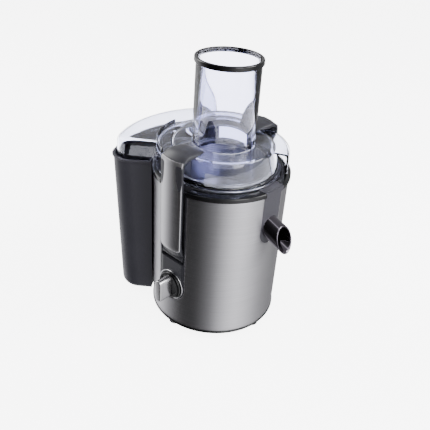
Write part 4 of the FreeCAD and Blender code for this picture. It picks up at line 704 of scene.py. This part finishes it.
# %% Feed tube and ring
tube_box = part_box("feed_tube")
TUBE_BORE, TUBE_TOP_RADIUS, TUBE_LOW_RADIUS = 37.5 * MM, 40.0 * MM, tube_box[1].x
tube_outline = rounded([
    (TUBE_BORE, tube_box[0].z), (TUBE_LOW_RADIUS, tube_box[0].z), (TUBE_LOW_RADIUS, LID_TOP),
    (TUBE_TOP_RADIUS, tube_box[1].z), (TUBE_BORE, tube_box[1].z)],
    [0.8 * MM, 0.8 * MM, 0.0, 0.4 * MM, 0.4 * MM], 3)
tube_points = turned(tube_outline, count=160)
shell("tube_wall", tube_points, turned_faces(tube_points), clear_tube, "housing", ["feed_tube"])

ring_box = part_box("tube_ring")
RING_RADIUS, RING_BORE = ring_box[1].x, 38.2 * MM
ring_outline = rounded([
    (TUBE_TOP_RADIUS + 0.15 * MM, ring_box[0].z), (RING_RADIUS, ring_box[0].z), (RING_RADIUS, ring_box[1].z),
    (RING_BORE, ring_box[1].z), (RING_BORE, tube_box[1].z), (TUBE_TOP_RADIUS + 0.15 * MM, tube_box[1].z)],
    [0.3 * MM, 0.8 * MM, 1.4 * MM, 1.0 * MM, 0.2 * MM, 0.1 * MM])
ring_points = turned(ring_outline, count=180)
shell("ring_cap", ring_points, turned_faces(ring_points), black_gloss, "housing", ["tube_ring"])

# %% Pulp container
BIN_BACK, BIN_LOW, BIN_TOP = 92.0 * MM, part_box("pulp_container")[0].z, 224.0 * MM
BIN_OUTER_LOW, BIN_OUTER_TOP, BIN_WALL = 142.0 * MM, 148.0 * MM, 2.5 * MM
BIN_HALF_LOW, BIN_HALF_TOP, BIN_ROUND = 41.5, 43.5, 12.0 * MM


def bin_ring(inset, height, back=0.0):
    """Outline of the tapered container at a height, drawn in by `inset`, and by `back` at its back."""
    share = (height - BIN_LOW) / (BIN_TOP - BIN_LOW)
    outer = BIN_OUTER_LOW + share * (BIN_OUTER_TOP - BIN_OUTER_LOW) - inset
    half = BIN_HALF_LOW + share * (BIN_HALF_TOP - BIN_HALF_LOW) - math.degrees(inset / MEAN_RADIUS)
    return crescent(BIN_BACK + back, outer, half, BIN_CORNER - inset, height)


bin_steps = [(inset, 2.0 * BIN_LOW - height, min(inset * 0.25, 2.0 * MM))
             for inset, height in round_steps(BIN_ROUND, BIN_LOW, 9)[::-1]]
bin_rings = [bin_ring(*step) for step in bin_steps]
bin_rings += [bin_ring(0.0, height) for height in np.linspace(40.0 * MM, 219.0 * MM, 14)]
bin_rings += [bin_ring(0.0, 220.3 * MM), bin_ring(-1.2 * MM, 220.9 * MM), bin_ring(-1.7 * MM, 221.6 * MM),
              bin_ring(-1.9 * MM, 223.2 * MM), bin_ring(-1.4 * MM, 223.9 * MM), bin_ring(-0.8 * MM, BIN_TOP)]
bin_rings += [bin_ring(BIN_WALL - 0.6 * MM, BIN_TOP, BIN_WALL - 0.6 * MM),
              bin_ring(BIN_WALL, BIN_TOP - 0.6 * MM, BIN_WALL)]
bin_rings += [bin_ring(BIN_WALL, height, BIN_WALL) for height in np.linspace(215.0 * MM, 30.0 * MM, 8)]
inner_floor = BIN_LOW + BIN_WALL
bin_rings += [bin_ring(BIN_WALL + inset, 2.0 * inner_floor - height, BIN_WALL)
              for inset, height in round_steps(BIN_ROUND - BIN_WALL, inner_floor, 6)]
bin_points = np.stack(bin_rings)
bin_size = bin_points.shape[1]
bin_faces = [tuple(face) for face in grid_faces(len(bin_rings), bin_size, ring=True)]
bin_faces += cap_strip(bin_size, 0) + cap_strip(bin_size, len(bin_rings) - 1)
shell("container_shell", bin_points, bin_faces, charcoal, "container", ["pulp_container"])

HOOK_HALF, HOOK_TIP = 14.0, 87.0 * MM
hook_outline = rounded([
    (92.3 * MM, 223.0 * MM), (94.2 * MM, 223.0 * MM), (94.2 * MM, 227.2 * MM), (87.0 * MM, 227.2 * MM),
    (87.0 * MM, 225.4 * MM), (92.3 * MM, 225.4 * MM)], [0.0, 0.0, 0.8 * MM, 0.8 * MM, 0.5 * MM, 0.5 * MM], 3)
hook_points = turned(hook_outline, 180.0 - HOOK_HALF, 180.0 + HOOK_HALF, 24)
hook_points[..., :2] *= np.maximum(1.0, HOOK_TIP / -hook_points[..., :1])     # its tip runs straight
shell("container_hook", hook_points, turned_faces(hook_points, capped=True), charcoal, "container", [])
BEAD_RADIUS, BEAD_HALF = 1.1 * MM, 20.0 * MM
BEAD_SIDES, BEAD_PLACE, BEAD_HEIGHT = 20, -HOOK_TIP - 0.9 * MM, 226.3 * MM
bead_angle = np.linspace(0.0, 2.0 * math.pi, BEAD_SIDES, endpoint=False)
bead_x = BEAD_PLACE + BEAD_RADIUS * np.cos(bead_angle)
bead_z = BEAD_HEIGHT + BEAD_RADIUS * np.sin(bead_angle)
bead_points = np.stack([np.column_stack([bead_x, np.full(BEAD_SIDES, end), bead_z])
                        for end in (-BEAD_HALF, BEAD_HALF)])
shell("hook_bead", bead_points, turned_faces(bead_points, capped=True), charcoal, "container", [])

# %% [markdown]
# ## Clamps
#
# Each clamp is a strap that stands in its recess, bends over the lid and ends in a hook. It is built as
# sections along its length: every section is a rounded rectangle between an inner and an outer line, and its
# outer side bulges, so that the strap catches a soft upright highlight. A brushed plate covers its face. The
# strap's dark grey is partly its own colour and partly painted shade, for the dark that the clamp's top and
# side take where they face away from the light.


# %% Clamp sections
def smooth_line(corners, radii, count):
    """Open line with rounded corners, resampled evenly by arc length."""
    corners = np.asarray(corners, float) * MM
    closed = rounded(np.vstack([corners, corners[-1:] + (1.0, 0.0), corners[:1] + (1.0, 0.0)]),
                     np.array(list(radii) + [0.0, 0.0]) * MM, 8)
    line = closed[:-2]
    travelled = np.concatenate([[0.0], np.cumsum(np.linalg.norm(np.diff(line, axis=0), axis=1))])
    even = np.linspace(0.0, travelled[-1], count)
    return np.column_stack([np.interp(even, travelled, line[:, k]) for k in (0, 1)])


SECTIONS = 90
ARM_HALF, TIP_HALF, BOW_RADIUS = 18.5 * MM, 11.0 * MM, 45.0 * MM
ARM_FACE = 94.8
outer_line = smooth_line([(84.0, 117.5), (91.2, 126.0), (ARM_FACE, 136.0), (ARM_FACE, 261.0), (82.0, 271.8),
                          (62.0, 270.4), (47.6, 263.4)], [0, 12, 20, 13, 14, 24, 0], SECTIONS)
inner_line = smooth_line([(79.0, 123.5), (84.1, 131.0), (87.5, 146.0), (87.5, 257.5), (82.5, 261.6),
                          (62.0, 261.6), (47.2, 261.6)], [0, 8, 12, 4, 4, 0, 0], SECTIONS)


def arm_width(reach):
    """Half-width of the strap: full at the face, narrowing towards the hook's tip as a smooth step."""
    share = np.clip((74.0 * MM - reach) / (27.0 * MM), 0.0, 1.0)
    return ARM_HALF - (ARM_HALF - TIP_HALF) * share ** 1.6


def strap(outer, inner, half_widths, side, edge, points):
    """Closed sections between two lines: across = w sign(cos a)|cos a|^k, through = sign(sin a)|sin a|^k.

    The power k below 1 squares the oval off. The outer side falls back by x^2 / 2R towards the strap's edges,
    which is the sag of a face bowed to radius R.
    """
    angle = np.linspace(0.0, 2.0 * math.pi, points, endpoint=False)
    across = np.sign(np.cos(angle)) * np.abs(np.cos(angle)) ** edge
    through = (np.sign(np.sin(angle)) * np.abs(np.sin(angle)) ** edge + 1.0) / 2.0
    x = half_widths[:, None] * across
    place = inner[:, None, :] + (outer - inner)[:, None, :] * through[None, :, None]
    normal = (outer - inner) / np.linalg.norm(outer - inner, axis=1)[:, None]
    place = place - normal[:, None, :] * (x ** 2 / (2.0 * BOW_RADIUS) * through)[:, :, None]
    return np.stack([x, side * place[..., 0], place[..., 1]], axis=-1)


# %% Clamp arms, faces and barrels
PIVOT_OUT, PIVOT_HEIGHT = 82.0 * MM, 121.0 * MM
BARREL_RADIUS, PIN_BORE, BARREL_SIDES = 5.0 * MM, 2.05 * MM, 40
FACE_GAUGE, FACE_RISE = 0.7 * MM, 0.35 * MM
FACE_LOW, FACE_TOP = 134.0 * MM, 262.0 * MM


def barrel(side):
    """Hinge barrel: a ring outline carried round the X axis at the pivot."""
    outline = rounded([(-ARM_HALF, PIN_BORE), (ARM_HALF, PIN_BORE), (ARM_HALF, BARREL_RADIUS),
                       (-ARM_HALF, BARREL_RADIUS)], 0.6 * MM, 3)
    angle = np.linspace(0.0, 2.0 * math.pi, BARREL_SIDES, endpoint=False)[:, None]
    x = np.broadcast_to(outline[:, 0], (BARREL_SIDES, len(outline)))
    y = side * (PIVOT_OUT + outline[:, 1] * np.cos(angle))
    return np.stack([x, y, PIVOT_HEIGHT + outline[:, 1] * np.sin(angle)], axis=-1)


def face_plate(side):
    """Brushed plate on the strap's outer side: a bowed sheet with a fine rim, its UV in metres."""
    height = np.concatenate([[0.0], np.linspace(0.002, 0.998, 60), [1.0]])
    across = np.linspace(-1.0, 1.0, 25)
    high = FACE_LOW + height * (FACE_TOP - FACE_LOW)
    straight = outer_line[:, 1] <= FACE_TOP
    reach = np.interp(high, outer_line[straight, 1], outer_line[straight, 0])
    plate_half = ARM_HALF - 0.4 * MM
    corner = 4.0 * MM
    from_end = np.minimum(high - FACE_LOW, corner)
    half = plate_half - corner + np.sqrt(np.maximum(corner ** 2 - (corner - from_end) ** 2, 0.0))
    x = half[:, None] * across
    depth = reach[:, None] - x ** 2 / (2.0 * BOW_RADIUS) - 0.02 * MM
    points = np.stack([x, side * depth, np.broadcast_to(high[:, None], x.shape)], axis=-1)
    return points, np.stack([x, np.broadcast_to(high[:, None], x.shape)], axis=-1)


for side_name, side in (("near", -1.0), ("far", 1.0)):
    body = side_name + "_clamp"
    inward = (inner_line - outer_line) / np.linalg.norm(inner_line - outer_line, axis=1)[:, None]
    half_widths = arm_width(outer_line[:, 0])
    arm_points = strap(outer_line + inward * FACE_RISE, inner_line, half_widths, side, edge=0.28, points=48)
    barrel_points = barrel(side)
    arm_faces = turned_faces(arm_points, capped=True)
    first = arm_points.shape[0] * arm_points.shape[1]
    arm_faces += [tuple(face) for face in grid_faces(*barrel_points.shape[:2], ring=True, tube=True) + first]
    shell("clamp_strap_" + side_name, np.vstack([arm_points.reshape(-1, 3), barrel_points.reshape(-1, 3)]),
          arm_faces, clamp_grey_and_shade, body, ["clamp_arm_" + side_name], sharp=55.0)
    plate_points, plate_uv = face_plate(side)
    plate = shell("clamp_plate_" + side_name, plate_points, grid_faces(*plate_points.shape[:2]),
                  clamp_aluminium, body, ["clamp_face_" + side_name], plate_uv)
    edit = bmesh.new()
    edit.from_mesh(plate.data)
    for face in edit.faces:
        if face.normal.y * side < 0.0:
            face.normal_flip()
    edit.to_mesh(plate.data)
    edit.free()
    gauge = plate.modifiers.new("gauge", "SOLIDIFY")
    gauge.thickness = FACE_GAUGE
    gauge.offset = -1.0

# %% [markdown]
# ## Spout
#
# The spout is a short polished tube that leaves the drum at 20 degrees and is cut off at a slant, so that
# the last drops run off its lower lip. Its sections stay square to its own line, and each point is moved
# along that line to where it meets the slanted cut: s = -r sin(u) (c . n) / (a . n), where a is the tube's
# direction, c its upward side and n the cut's normal.

# %% Spout
SPOUT_DROP, MOUTH_TILT = math.radians(20.0), math.radians(20.0)
MOUTH = np.array([113.0, 0.0, 162.0]) * MM
SPOUT_RADIUS, SPOUT_BORE, SPOUT_ROOT = 14.5 * MM, 13.0 * MM, 77.5 * MM
along = np.array([math.cos(SPOUT_DROP), 0.0, -math.sin(SPOUT_DROP)])
upward = np.array([math.sin(SPOUT_DROP), 0.0, math.cos(SPOUT_DROP)])
cut_normal = np.array([math.cos(MOUTH_TILT), 0.0, math.sin(MOUTH_TILT)])
around = np.linspace(0.0, 2.0 * math.pi, 96, endpoint=False)


def spout_ring(radius, share, back=0.0):
    """Ring of the spout: share 0 lies inside the drum's side, share 1 on the slanted mouth less `back`."""
    offset = radius * (np.cos(around)[:, None] * np.array([0.0, 1.0, 0.0]) + np.sin(around)[:, None] * upward)
    mouth = -(offset @ cut_normal) / (along @ cut_normal) - back
    root = (SPOUT_ROOT - MOUTH[0] - offset[:, 0]) / along[0]
    travel = root + share * (mouth - root)
    return MOUTH + offset + travel[:, None] * along


spout_rings = [spout_ring(SPOUT_RADIUS, share) for share in np.linspace(0.0, 0.94, 12)]
spout_rings += [spout_ring(SPOUT_RADIUS, 1.0, 0.5 * MM), spout_ring(SPOUT_RADIUS - 0.15 * MM, 1.0, 0.15 * MM),
                spout_ring(SPOUT_RADIUS - 0.5 * MM, 1.0), spout_ring(SPOUT_BORE + 0.4 * MM, 1.0),
                spout_ring(SPOUT_BORE, 1.0, 0.4 * MM)]
spout_rings += [spout_ring(SPOUT_BORE, share) for share in np.linspace(0.93, 0.0, 12)]
spout_points = np.stack(spout_rings)
shell("spout_tube", spout_points, grid_faces(*spout_points.shape[:2], ring=True, tube=True), spout_dark,
      "housing", ["spout"])

# %% [markdown]
# ## Speed knob
#
# The knob is a black disc in a bright ring, with a metal grip bar across it to turn it by. The disc and ring
# are outlines turned about the knob's own line, which points straight out of the near side. The grip is a
# stack of stadium outlines that draw in over its last few millimetres, so that its front edge is soft.

# %% Dial and ring
KNOB_HEIGHT = 72.0 * MM
dial_low, dial_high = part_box("knob_dial")
DIAL_RADIUS, DIAL_BORE = dial_high.x, 3.0 * MM
DIAL_BACK, DIAL_FRONT = -dial_high.y, -dial_low.y


def facing_out(outline, count=96):
    """Outline of (radius, distance out of the near side) turned about the knob's line."""
    angle = np.linspace(0.0, 2.0 * math.pi, count, endpoint=False)[:, None]
    x = outline[:, 0] * np.cos(angle)
    y = np.broadcast_to(-outline[:, 1], x.shape)
    return np.stack([x, y, KNOB_HEIGHT + outline[:, 0] * np.sin(angle)], axis=-1)


dial_outline = rounded([
    (DIAL_BORE, DIAL_BACK), (DIAL_RADIUS, DIAL_BACK), (DIAL_RADIUS, DIAL_FRONT - 1.2 * MM),
    (DIAL_RADIUS - 1.8 * MM, DIAL_FRONT), (DIAL_RADIUS - 4.4 * MM, DIAL_FRONT),
    (DIAL_RADIUS - 5.0 * MM, DIAL_FRONT - 0.6 * MM), (DIAL_BORE, DIAL_FRONT - 0.6 * MM)],
    [0.0, 0.3 * MM, 1.0 * MM, 1.0 * MM, 0.4 * MM, 0.4 * MM, 0.0], 4)
dial_points = facing_out(dial_outline)
shell("dial_disc", dial_points, grid_faces(*dial_points.shape[:2], ring=True, tube=True), black_gloss,
      "knob", ["knob_dial"], sharp=30.0)

bezel_low, bezel_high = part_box("dial_bezel")
BEZEL_RADIUS = bezel_high.x
bezel_outline = rounded([
    (DIAL_RADIUS + 0.45 * MM, -bezel_high.y), (BEZEL_RADIUS, -bezel_high.y),
    (BEZEL_RADIUS, -bezel_low.y - 0.4 * MM), (DIAL_RADIUS + 0.9 * MM, -bezel_low.y),
    (DIAL_RADIUS + 0.45 * MM, -bezel_low.y - 0.5 * MM)], [0.0, 0.2 * MM, 0.6 * MM, 0.6 * MM, 0.2 * MM], 4)
bezel_points = facing_out(bezel_outline)
shell("bezel_ring", bezel_points, grid_faces(*bezel_points.shape[:2], ring=True, tube=True), chrome,
      "housing", ["dial_bezel"])

# %% Grip
grip_low, grip_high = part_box("knob_grip")
GRIP_HALF, GRIP_HALF_LENGTH = grip_high.x, (grip_high.z - grip_low.z) / 2.0


def stadium(inset, out, count=24):
    """Rounded bar outline in X and Z at a distance out: two half circles joined by straight sides."""
    radius = GRIP_HALF - inset
    angle = np.linspace(0.0, 2.0 * math.pi, 2 * count, endpoint=False) + math.pi / (2 * count)
    rise = np.where(np.sin(angle) > 0.0, 1.0, -1.0) * (GRIP_HALF_LENGTH - GRIP_HALF)
    return np.stack([radius * np.cos(angle), np.full(2 * count, -out),
                     KNOB_HEIGHT + rise + radius * np.sin(angle)], axis=-1)


GRIP_ROUND = 1.6 * MM
grip_rings = [stadium(0.0, -grip_high.y), stadium(0.0, -grip_low.y - GRIP_ROUND)]
grip_rings += [stadium(*step) for step in round_steps(GRIP_ROUND, -grip_low.y, 5)[1:]]
grip_points = np.stack(grip_rings)
shell("grip_bar", grip_points, turned_faces(grip_points, capped=True), satin_aluminium, "knob", ["knob_grip"])

# %% [markdown]
# ## Grating disc and sieve
#
# Down the tube lies the stainless disc that shreds the fruit. Its teeth are pressed out of the sheet in
# curved rows; each is a small raised lip with a sharp leading edge. All of them are one array: the seven
# points of a tooth, turned and moved to every place at once.

# %% Grating teeth
disc_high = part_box("grating_disc")[1]
DISC_TOP, DISC_RADIUS = disc_high.z, disc_high.x
ROWS, TEETH = 14, 9
FIRST_TOOTH, LAST_TOOTH, ROW_CURVE = 9.0 * MM, 33.5 * MM, 0.9
tooth = np.array([[-1.3, -0.7, -0.1], [-1.3, 0.7, -0.1], [1.3, 0.7, -0.1], [1.3, -0.7, -0.1],
                  [1.1, -0.5, 1.1], [1.1, 0.5, 1.1], [-0.2, 0.0, 0.5]]) * MM
tooth_faces = [(0, 3, 2, 1), (3, 4, 5, 2), (0, 6, 4, 3), (1, 2, 5, 6), (0, 1, 6), (4, 6, 5)]
row, step = np.meshgrid(np.arange(ROWS), np.arange(TEETH), indexing="ij")
distance = np.linspace(FIRST_TOOTH, LAST_TOOTH, TEETH)[step]
bearing = 2.0 * math.pi * row / ROWS + ROW_CURVE * distance / DISC_RADIUS
turn = bearing + math.pi / 2.0
cos_turn, sin_turn = np.cos(turn)[..., None], np.sin(turn)[..., None]
tooth_x = (distance * np.cos(bearing))[..., None] + tooth[:, 0] * cos_turn - tooth[:, 1] * sin_turn
tooth_y = (distance * np.sin(bearing))[..., None] + tooth[:, 0] * sin_turn + tooth[:, 1] * cos_turn
tooth_z = np.broadcast_to(DISC_TOP + tooth[:, 2], tooth_x.shape)
placed = np.stack([tooth_x, tooth_y, tooth_z], axis=-1).reshape(-1, 3)
all_tooth_faces = [tuple(np.add(face, len(tooth) * index))
                   for index in range(ROWS * TEETH) for face in tooth_faces]
shell("grating_teeth", placed, all_tooth_faces, stainless, "rotor", [], sharp=20.0)


# %% Sieve mesh
def etched_mesh(name, colour, pitch_mm, hole_share):
    """Thin steel with round holes in rows on the piece's UV, in metres, painted as shade: dark round each
    cell's centre.
    """
    material, shader = finish_material(name, colour, Metallic=1.0, Roughness=0.3)
    place = add_node(material, "ShaderNodeUVMap", {"uv_map": "surface"})
    cells = add_node(material, "ShaderNodeTexVoronoi", Vector=place.outputs[0], Scale=per_mm(pitch_mm),
                     Randomness=0.0)
    painted_hole_shade = add_node(material, "ShaderNodeMapRange", _0=cells.outputs["Distance"], _1=hole_share - 0.06,
                    _2=hole_share + 0.06, _3=0.0, _4=1.0)
    shade = add_node(material, "ShaderNodeVectorMath", {"operation": "SCALE"}, _0=linear(colour)[:3],
                     Scale=painted_hole_shade.outputs[0])
    bump = add_node(material, "ShaderNodeBump", Strength=0.6, Distance=0.2 * MM, Height=painted_hole_shade.outputs[0])
    link = material.node_tree.links.new
    link(shade.outputs[0], shader.inputs["Base Color"])
    link(bump.outputs[0], shader.inputs["Normal"])
    return material


# Real pinholes are about 0.5 mm across, too fine to show, so they are drawn at a pitch of 2.2 mm, as dark
# spots of painted shade.
mesh_steel = etched_mesh("steel_etched_mesh", "#b4b4b6", 2.2, 0.27)
mesh_low, mesh_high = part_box("sieve_mesh")
MESH_FLOOR_RADIUS = 38.0 * MM
MESH_GAUGE, MESH_COLUMNS, MESH_MEAN_RADIUS = 0.6 * MM, 120, 52.0 * MM
mesh_outline = np.array([(MESH_FLOOR_RADIUS, mesh_low.z), (mesh_high.x, mesh_high.z - 1.0 * MM),
                         (mesh_high.x, mesh_high.z), (mesh_high.x - MESH_GAUGE, mesh_high.z),
                         (mesh_high.x - MESH_GAUGE, mesh_high.z - 1.0 * MM),
                         (MESH_FLOOR_RADIUS - MESH_GAUGE, mesh_low.z)])
mesh_points = turned(mesh_outline, count=MESH_COLUMNS)
slant = np.concatenate([[0.0], np.cumsum(np.linalg.norm(np.diff(mesh_outline, axis=0), axis=1))])
round_way = np.linspace(0.0, 2.0 * math.pi, MESH_COLUMNS + 1)[:, None] * MESH_MEAN_RADIUS
mesh_uv = np.stack([np.broadcast_to(round_way, mesh_points.shape[:2]),
                    np.broadcast_to(slant, mesh_points.shape[:2])], axis=-1)
shell("mesh_cone", mesh_points, turned_faces(mesh_points), mesh_steel, "rotor", ["sieve_mesh"],
      mesh_uv)

# %% [markdown]
# ## Screws and the nodes that stay
#
# The base screws get a cross recess, which is what anyone who turns the juicer over sees first. The recess is
# not cut: a thin black cross laid across each screw head's face is painted shade for it. The nodes below keep
# their own shape and get the finish of what they are made of.

# %% Screw crosses
screw_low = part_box("base_screws")[0]
CROSS_ARM, CROSS_HALF, CROSS_HALF_THICKNESS = 2.2 * MM, 0.35 * MM, 0.06 * MM
SCREW_CIRCLE = 80.0 * MM
bar = np.array([[-1, -1], [1, -1], [1, 1], [-1, 1]]) * (CROSS_ARM, CROSS_HALF)
cross = np.concatenate([bar, bar[:, ::-1]])
cross_points, cross_faces = [], []
for index, degrees in enumerate((45.0, 135.0, 225.0, 315.0)):
    spot = SCREW_CIRCLE * np.array([math.cos(math.radians(degrees)), math.sin(math.radians(degrees))])
    for level in (screw_low.z - CROSS_HALF_THICKNESS, screw_low.z + CROSS_HALF_THICKNESS):
        cross_points.append(np.column_stack([cross + spot, np.full(8, level)]))
    base = index * 16
    for start in (base, base + 4):
        low_ring, high_ring = range(start, start + 4), range(start + 8, start + 12)
        cross_faces += [tuple(low_ring), tuple(high_ring)]
        cross_faces += [(low_ring[i - 1], low_ring[i], high_ring[i], high_ring[i - 1]) for i in (1, 2, 3, 0)]
# The black cross is painted shade for each screw's recess; the screw head itself is not cut.
shell("screw_cross_painted_shade", np.concatenate(cross_points), cross_faces, inner_black_and_recess_shade, "housing", [])

# %% Finishes of the nodes that stay
FINISHES = {
    inner_black_and_recess_shade: ["drum_housing", "base_plate", "fan_shroud", "speed_switch", "interlock_switch",
                  "drive_coupling"],
    clamp_grey_and_shade: ["channel_near", "channel_far"],
    panel_grey: ["juice_collector"],
    rubber: ["foot_front", "foot_far", "foot_back", "foot_near", "cord_gland", "clamp_pad_near",
             "clamp_pad_far", "motor_mounts", "shaft_seal"],
    zinc_steel: ["base_screws", "motor_bolts", "brush_springs"],
    ground_steel: ["hinge_pin_near", "hinge_pin_far", "knob_spindle", "motor_shaft", "bearing_lower",
                   "bearing_upper"],
    stainless: ["sieve_basket", "grating_disc"],
    cast_aluminium: ["motor_bracket_lower", "motor_bracket_upper"],
    lamination_steel: ["stator_core", "rotor_core"],
    copper_wire: ["field_coils", "rotor_windings"],
    copper: ["commutator"],
    brass: ["brush_holders"],
    graphite: ["carbon_brushes"],
    natural_pom: ["cooling_fan", "interlock_plunger"],
    board_green: ["control_board"],
    capacitor_yellow: ["suppression_capacitor"],
}
for finish, names in FINISHES.items():
    for name in names:
        for index in range(max(1, len(nodes[name].material_slots))):
            if not nodes[name].material_slots:
                nodes[name].data.materials.append(finish)
            nodes[name].material_slots[index].material = finish
print("nodes with a finish:", sum(len(names) for names in FINISHES.values()))

# %% [markdown]
# ## Stage, light and camera
#
# The juicer stands on a floor that shines by itself, so that it stays nearly white. It therefore takes
# almost no shadow, and it is left out of reflections and of bounced light, where it would drown the tone of
# the metal.
#
# Brushed metal shows what stands round it as upright bands. The sky is even for diffuse light, but rays that
# bounce off something glossy see a ring of surroundings instead: bright towards the spout and towards the
# back, dark on the near side, where a dark card stands too. Three soft lights add the highlights.

# %% Floor and world
floor_material, floor_shader = finish_material("floor_paper", "#f7f7f8", Roughness=0.9)
floor_shader.inputs["Specular IOR Level"].default_value = 0.1
floor_shader.inputs["Emission Color"].default_value = (1.0, 1.0, 1.0, 1.0)
FLOOR_SHINE, FLOOR_HALF = 6.0, 6.0
floor_shader.inputs["Emission Strength"].default_value = FLOOR_SHINE
floor_mesh = bpy.data.meshes.new("floor")
floor_corners = [(x * FLOOR_HALF, y * FLOOR_HALF, 0.0) for x, y in ((-1, -1), (1, -1), (1, 1), (-1, 1))]
floor_mesh.from_pydata(floor_corners, [], [(0, 1, 2, 3)])
floor_mesh.materials.append(floor_material)
floor = bpy.data.objects.new("floor", floor_mesh)
bpy.context.scene.collection.objects.link(floor)
floor.visible_glossy = False
floor.visible_diffuse = False

SKY_LEVEL = 0.75
# What the metal mirrors at each compass angle from +X: (angle in degrees, level).
SURROUNDINGS = (
    (-180.0, 1.90), (-160.0, 1.70), (-140.0, 0.50), (-115.0, 0.06), (-80.0, 0.08), (-50.0, 0.40),
    (-25.0, 1.50), (-5.0, 2.20), (14.0, 1.70), (40.0, 0.60), (80.0, 0.35), (150.0, 0.80), (180.0, 1.90))
world = bpy.data.worlds.new("studio")
world.use_nodes = True
background = world.node_tree.nodes["Background"]
background.inputs["Color"].default_value = (0.97, 0.97, 1.0, 1.0)
way = add_node(world, "ShaderNodeTexCoord")
split = add_node(world, "ShaderNodeSeparateXYZ", Vector=way.outputs["Generated"])
compass = add_node(world, "ShaderNodeMath", {"operation": "ARCTAN2"}, _0=split.outputs[1],
                   _1=split.outputs[0])
share = add_node(world, "ShaderNodeMapRange", _0=compass.outputs[0], _1=-math.pi, _2=math.pi)
bands = add_node(world, "ShaderNodeValToRGB", Fac=share.outputs[0])
stops = bands.color_ramp.elements
for degrees, level in SURROUNDINGS[1:-1]:
    stops.new((degrees + 180.0) / 360.0)
for stop, (degrees, level) in zip(stops, SURROUNDINGS):
    stop.color = (level, level, level, 1.0)
mirrored = add_node(world, "ShaderNodeLightPath")
sky = add_node(world, "ShaderNodeMix", _0=mirrored.outputs["Is Glossy Ray"], _2=SKY_LEVEL,
               _3=bands.outputs[0])
world.node_tree.links.new(sky.outputs[0], background.inputs["Strength"])
bpy.context.scene.world = world
print("surroundings:", len(SURROUNDINGS), "levels, sky", SKY_LEVEL)


# %% Lights and card
def polar(degrees, distance, height):
    """Place at a compass angle from +X, a distance from the axis and a height."""
    angle = math.radians(degrees)
    return Vector((distance * math.cos(angle), distance * math.sin(angle), height))


LIT_POINT = Vector((0.0, 0.0, 0.15))


def area_light(name, place, size, watts):
    """Rectangular soft light that points at the middle of the juicer."""
    light = bpy.data.lights.new(name, "AREA")
    light.shape = "RECTANGLE"
    light.size, light.size_y = size
    light.energy = watts
    lamp = bpy.data.objects.new(name, light)
    lamp.location = place
    lamp.rotation_mode = "QUATERNION"
    lamp.rotation_quaternion = (place - LIT_POINT).to_track_quat("Z", "Y")
    bpy.context.scene.collection.objects.link(lamp)
    print("light", name, watts, "W")


def card(name, place, width, height, colour):
    """Upright card that faces the axis and shows only in reflections."""
    material, _ = finish_material(name, colour, Roughness=0.9)
    across = Vector((-place.y, place.x, 0.0)).normalized() * (width / 2.0)
    up = Vector((0.0, 0.0, height))
    mesh = bpy.data.meshes.new(name)
    corners = [place - across, place + across, place + across + up, place - across + up]
    mesh.from_pydata(corners, [], [(0, 1, 2, 3)])
    mesh.materials.append(material)
    screen = bpy.data.objects.new(name, mesh)
    screen.visible_camera = False
    screen.visible_shadow = False
    screen.visible_diffuse = False
    bpy.context.scene.collection.objects.link(screen)


area_light("key", polar(35.0, 1.3, 1.2), (0.8, 0.8), 26.0)
area_light("front", polar(-15.0, 1.2, 0.8), (0.5, 1.0), 9.0)
area_light("left_back", polar(200.0, 1.3, 0.9), (0.7, 0.9), 12.0)
card("dark_card", polar(-98.0, 0.55, 0.0), 0.36, 0.9, "#050505")

# %% Camera
FOCAL_PIXELS, PICTURE_PIXELS, SENSOR_MM = 560.0, 430.0, 36.0
AZIMUTH, ELEVATION, ROLL = math.radians(41.0), math.radians(32.2), math.radians(4.0)
DISTANCE, AIM_SIDE, AIM_HEIGHT = 0.777, -4.35 * MM, 145.6 * MM
camera_data = bpy.data.cameras.new("camera")
camera_data.sensor_width = SENSOR_MM
camera_data.lens = SENSOR_MM * FOCAL_PIXELS / PICTURE_PIXELS
camera = bpy.data.objects.new("camera", camera_data)
bpy.context.scene.collection.objects.link(camera)
back = Vector((0.0, -math.cos(ELEVATION), math.sin(ELEVATION)))
level = Vector((1.0, 0.0, 0.0))
plumb = back.cross(level)
right = level * math.cos(ROLL) + plumb * math.sin(ROLL)
up = plumb * math.cos(ROLL) - level * math.sin(ROLL)
place = Vector((AIM_SIDE, 0.0, AIM_HEIGHT)) + back * DISTANCE
pose = Matrix((right, up, back)).transposed().to_4x4()
pose.translation = place
camera.matrix_world = Matrix.Rotation(AZIMUTH, 4, "Z") @ pose
bpy.context.scene.camera = camera
print("camera", round(camera_data.lens, 1), "mm,", DISTANCE, "m from the aim point")
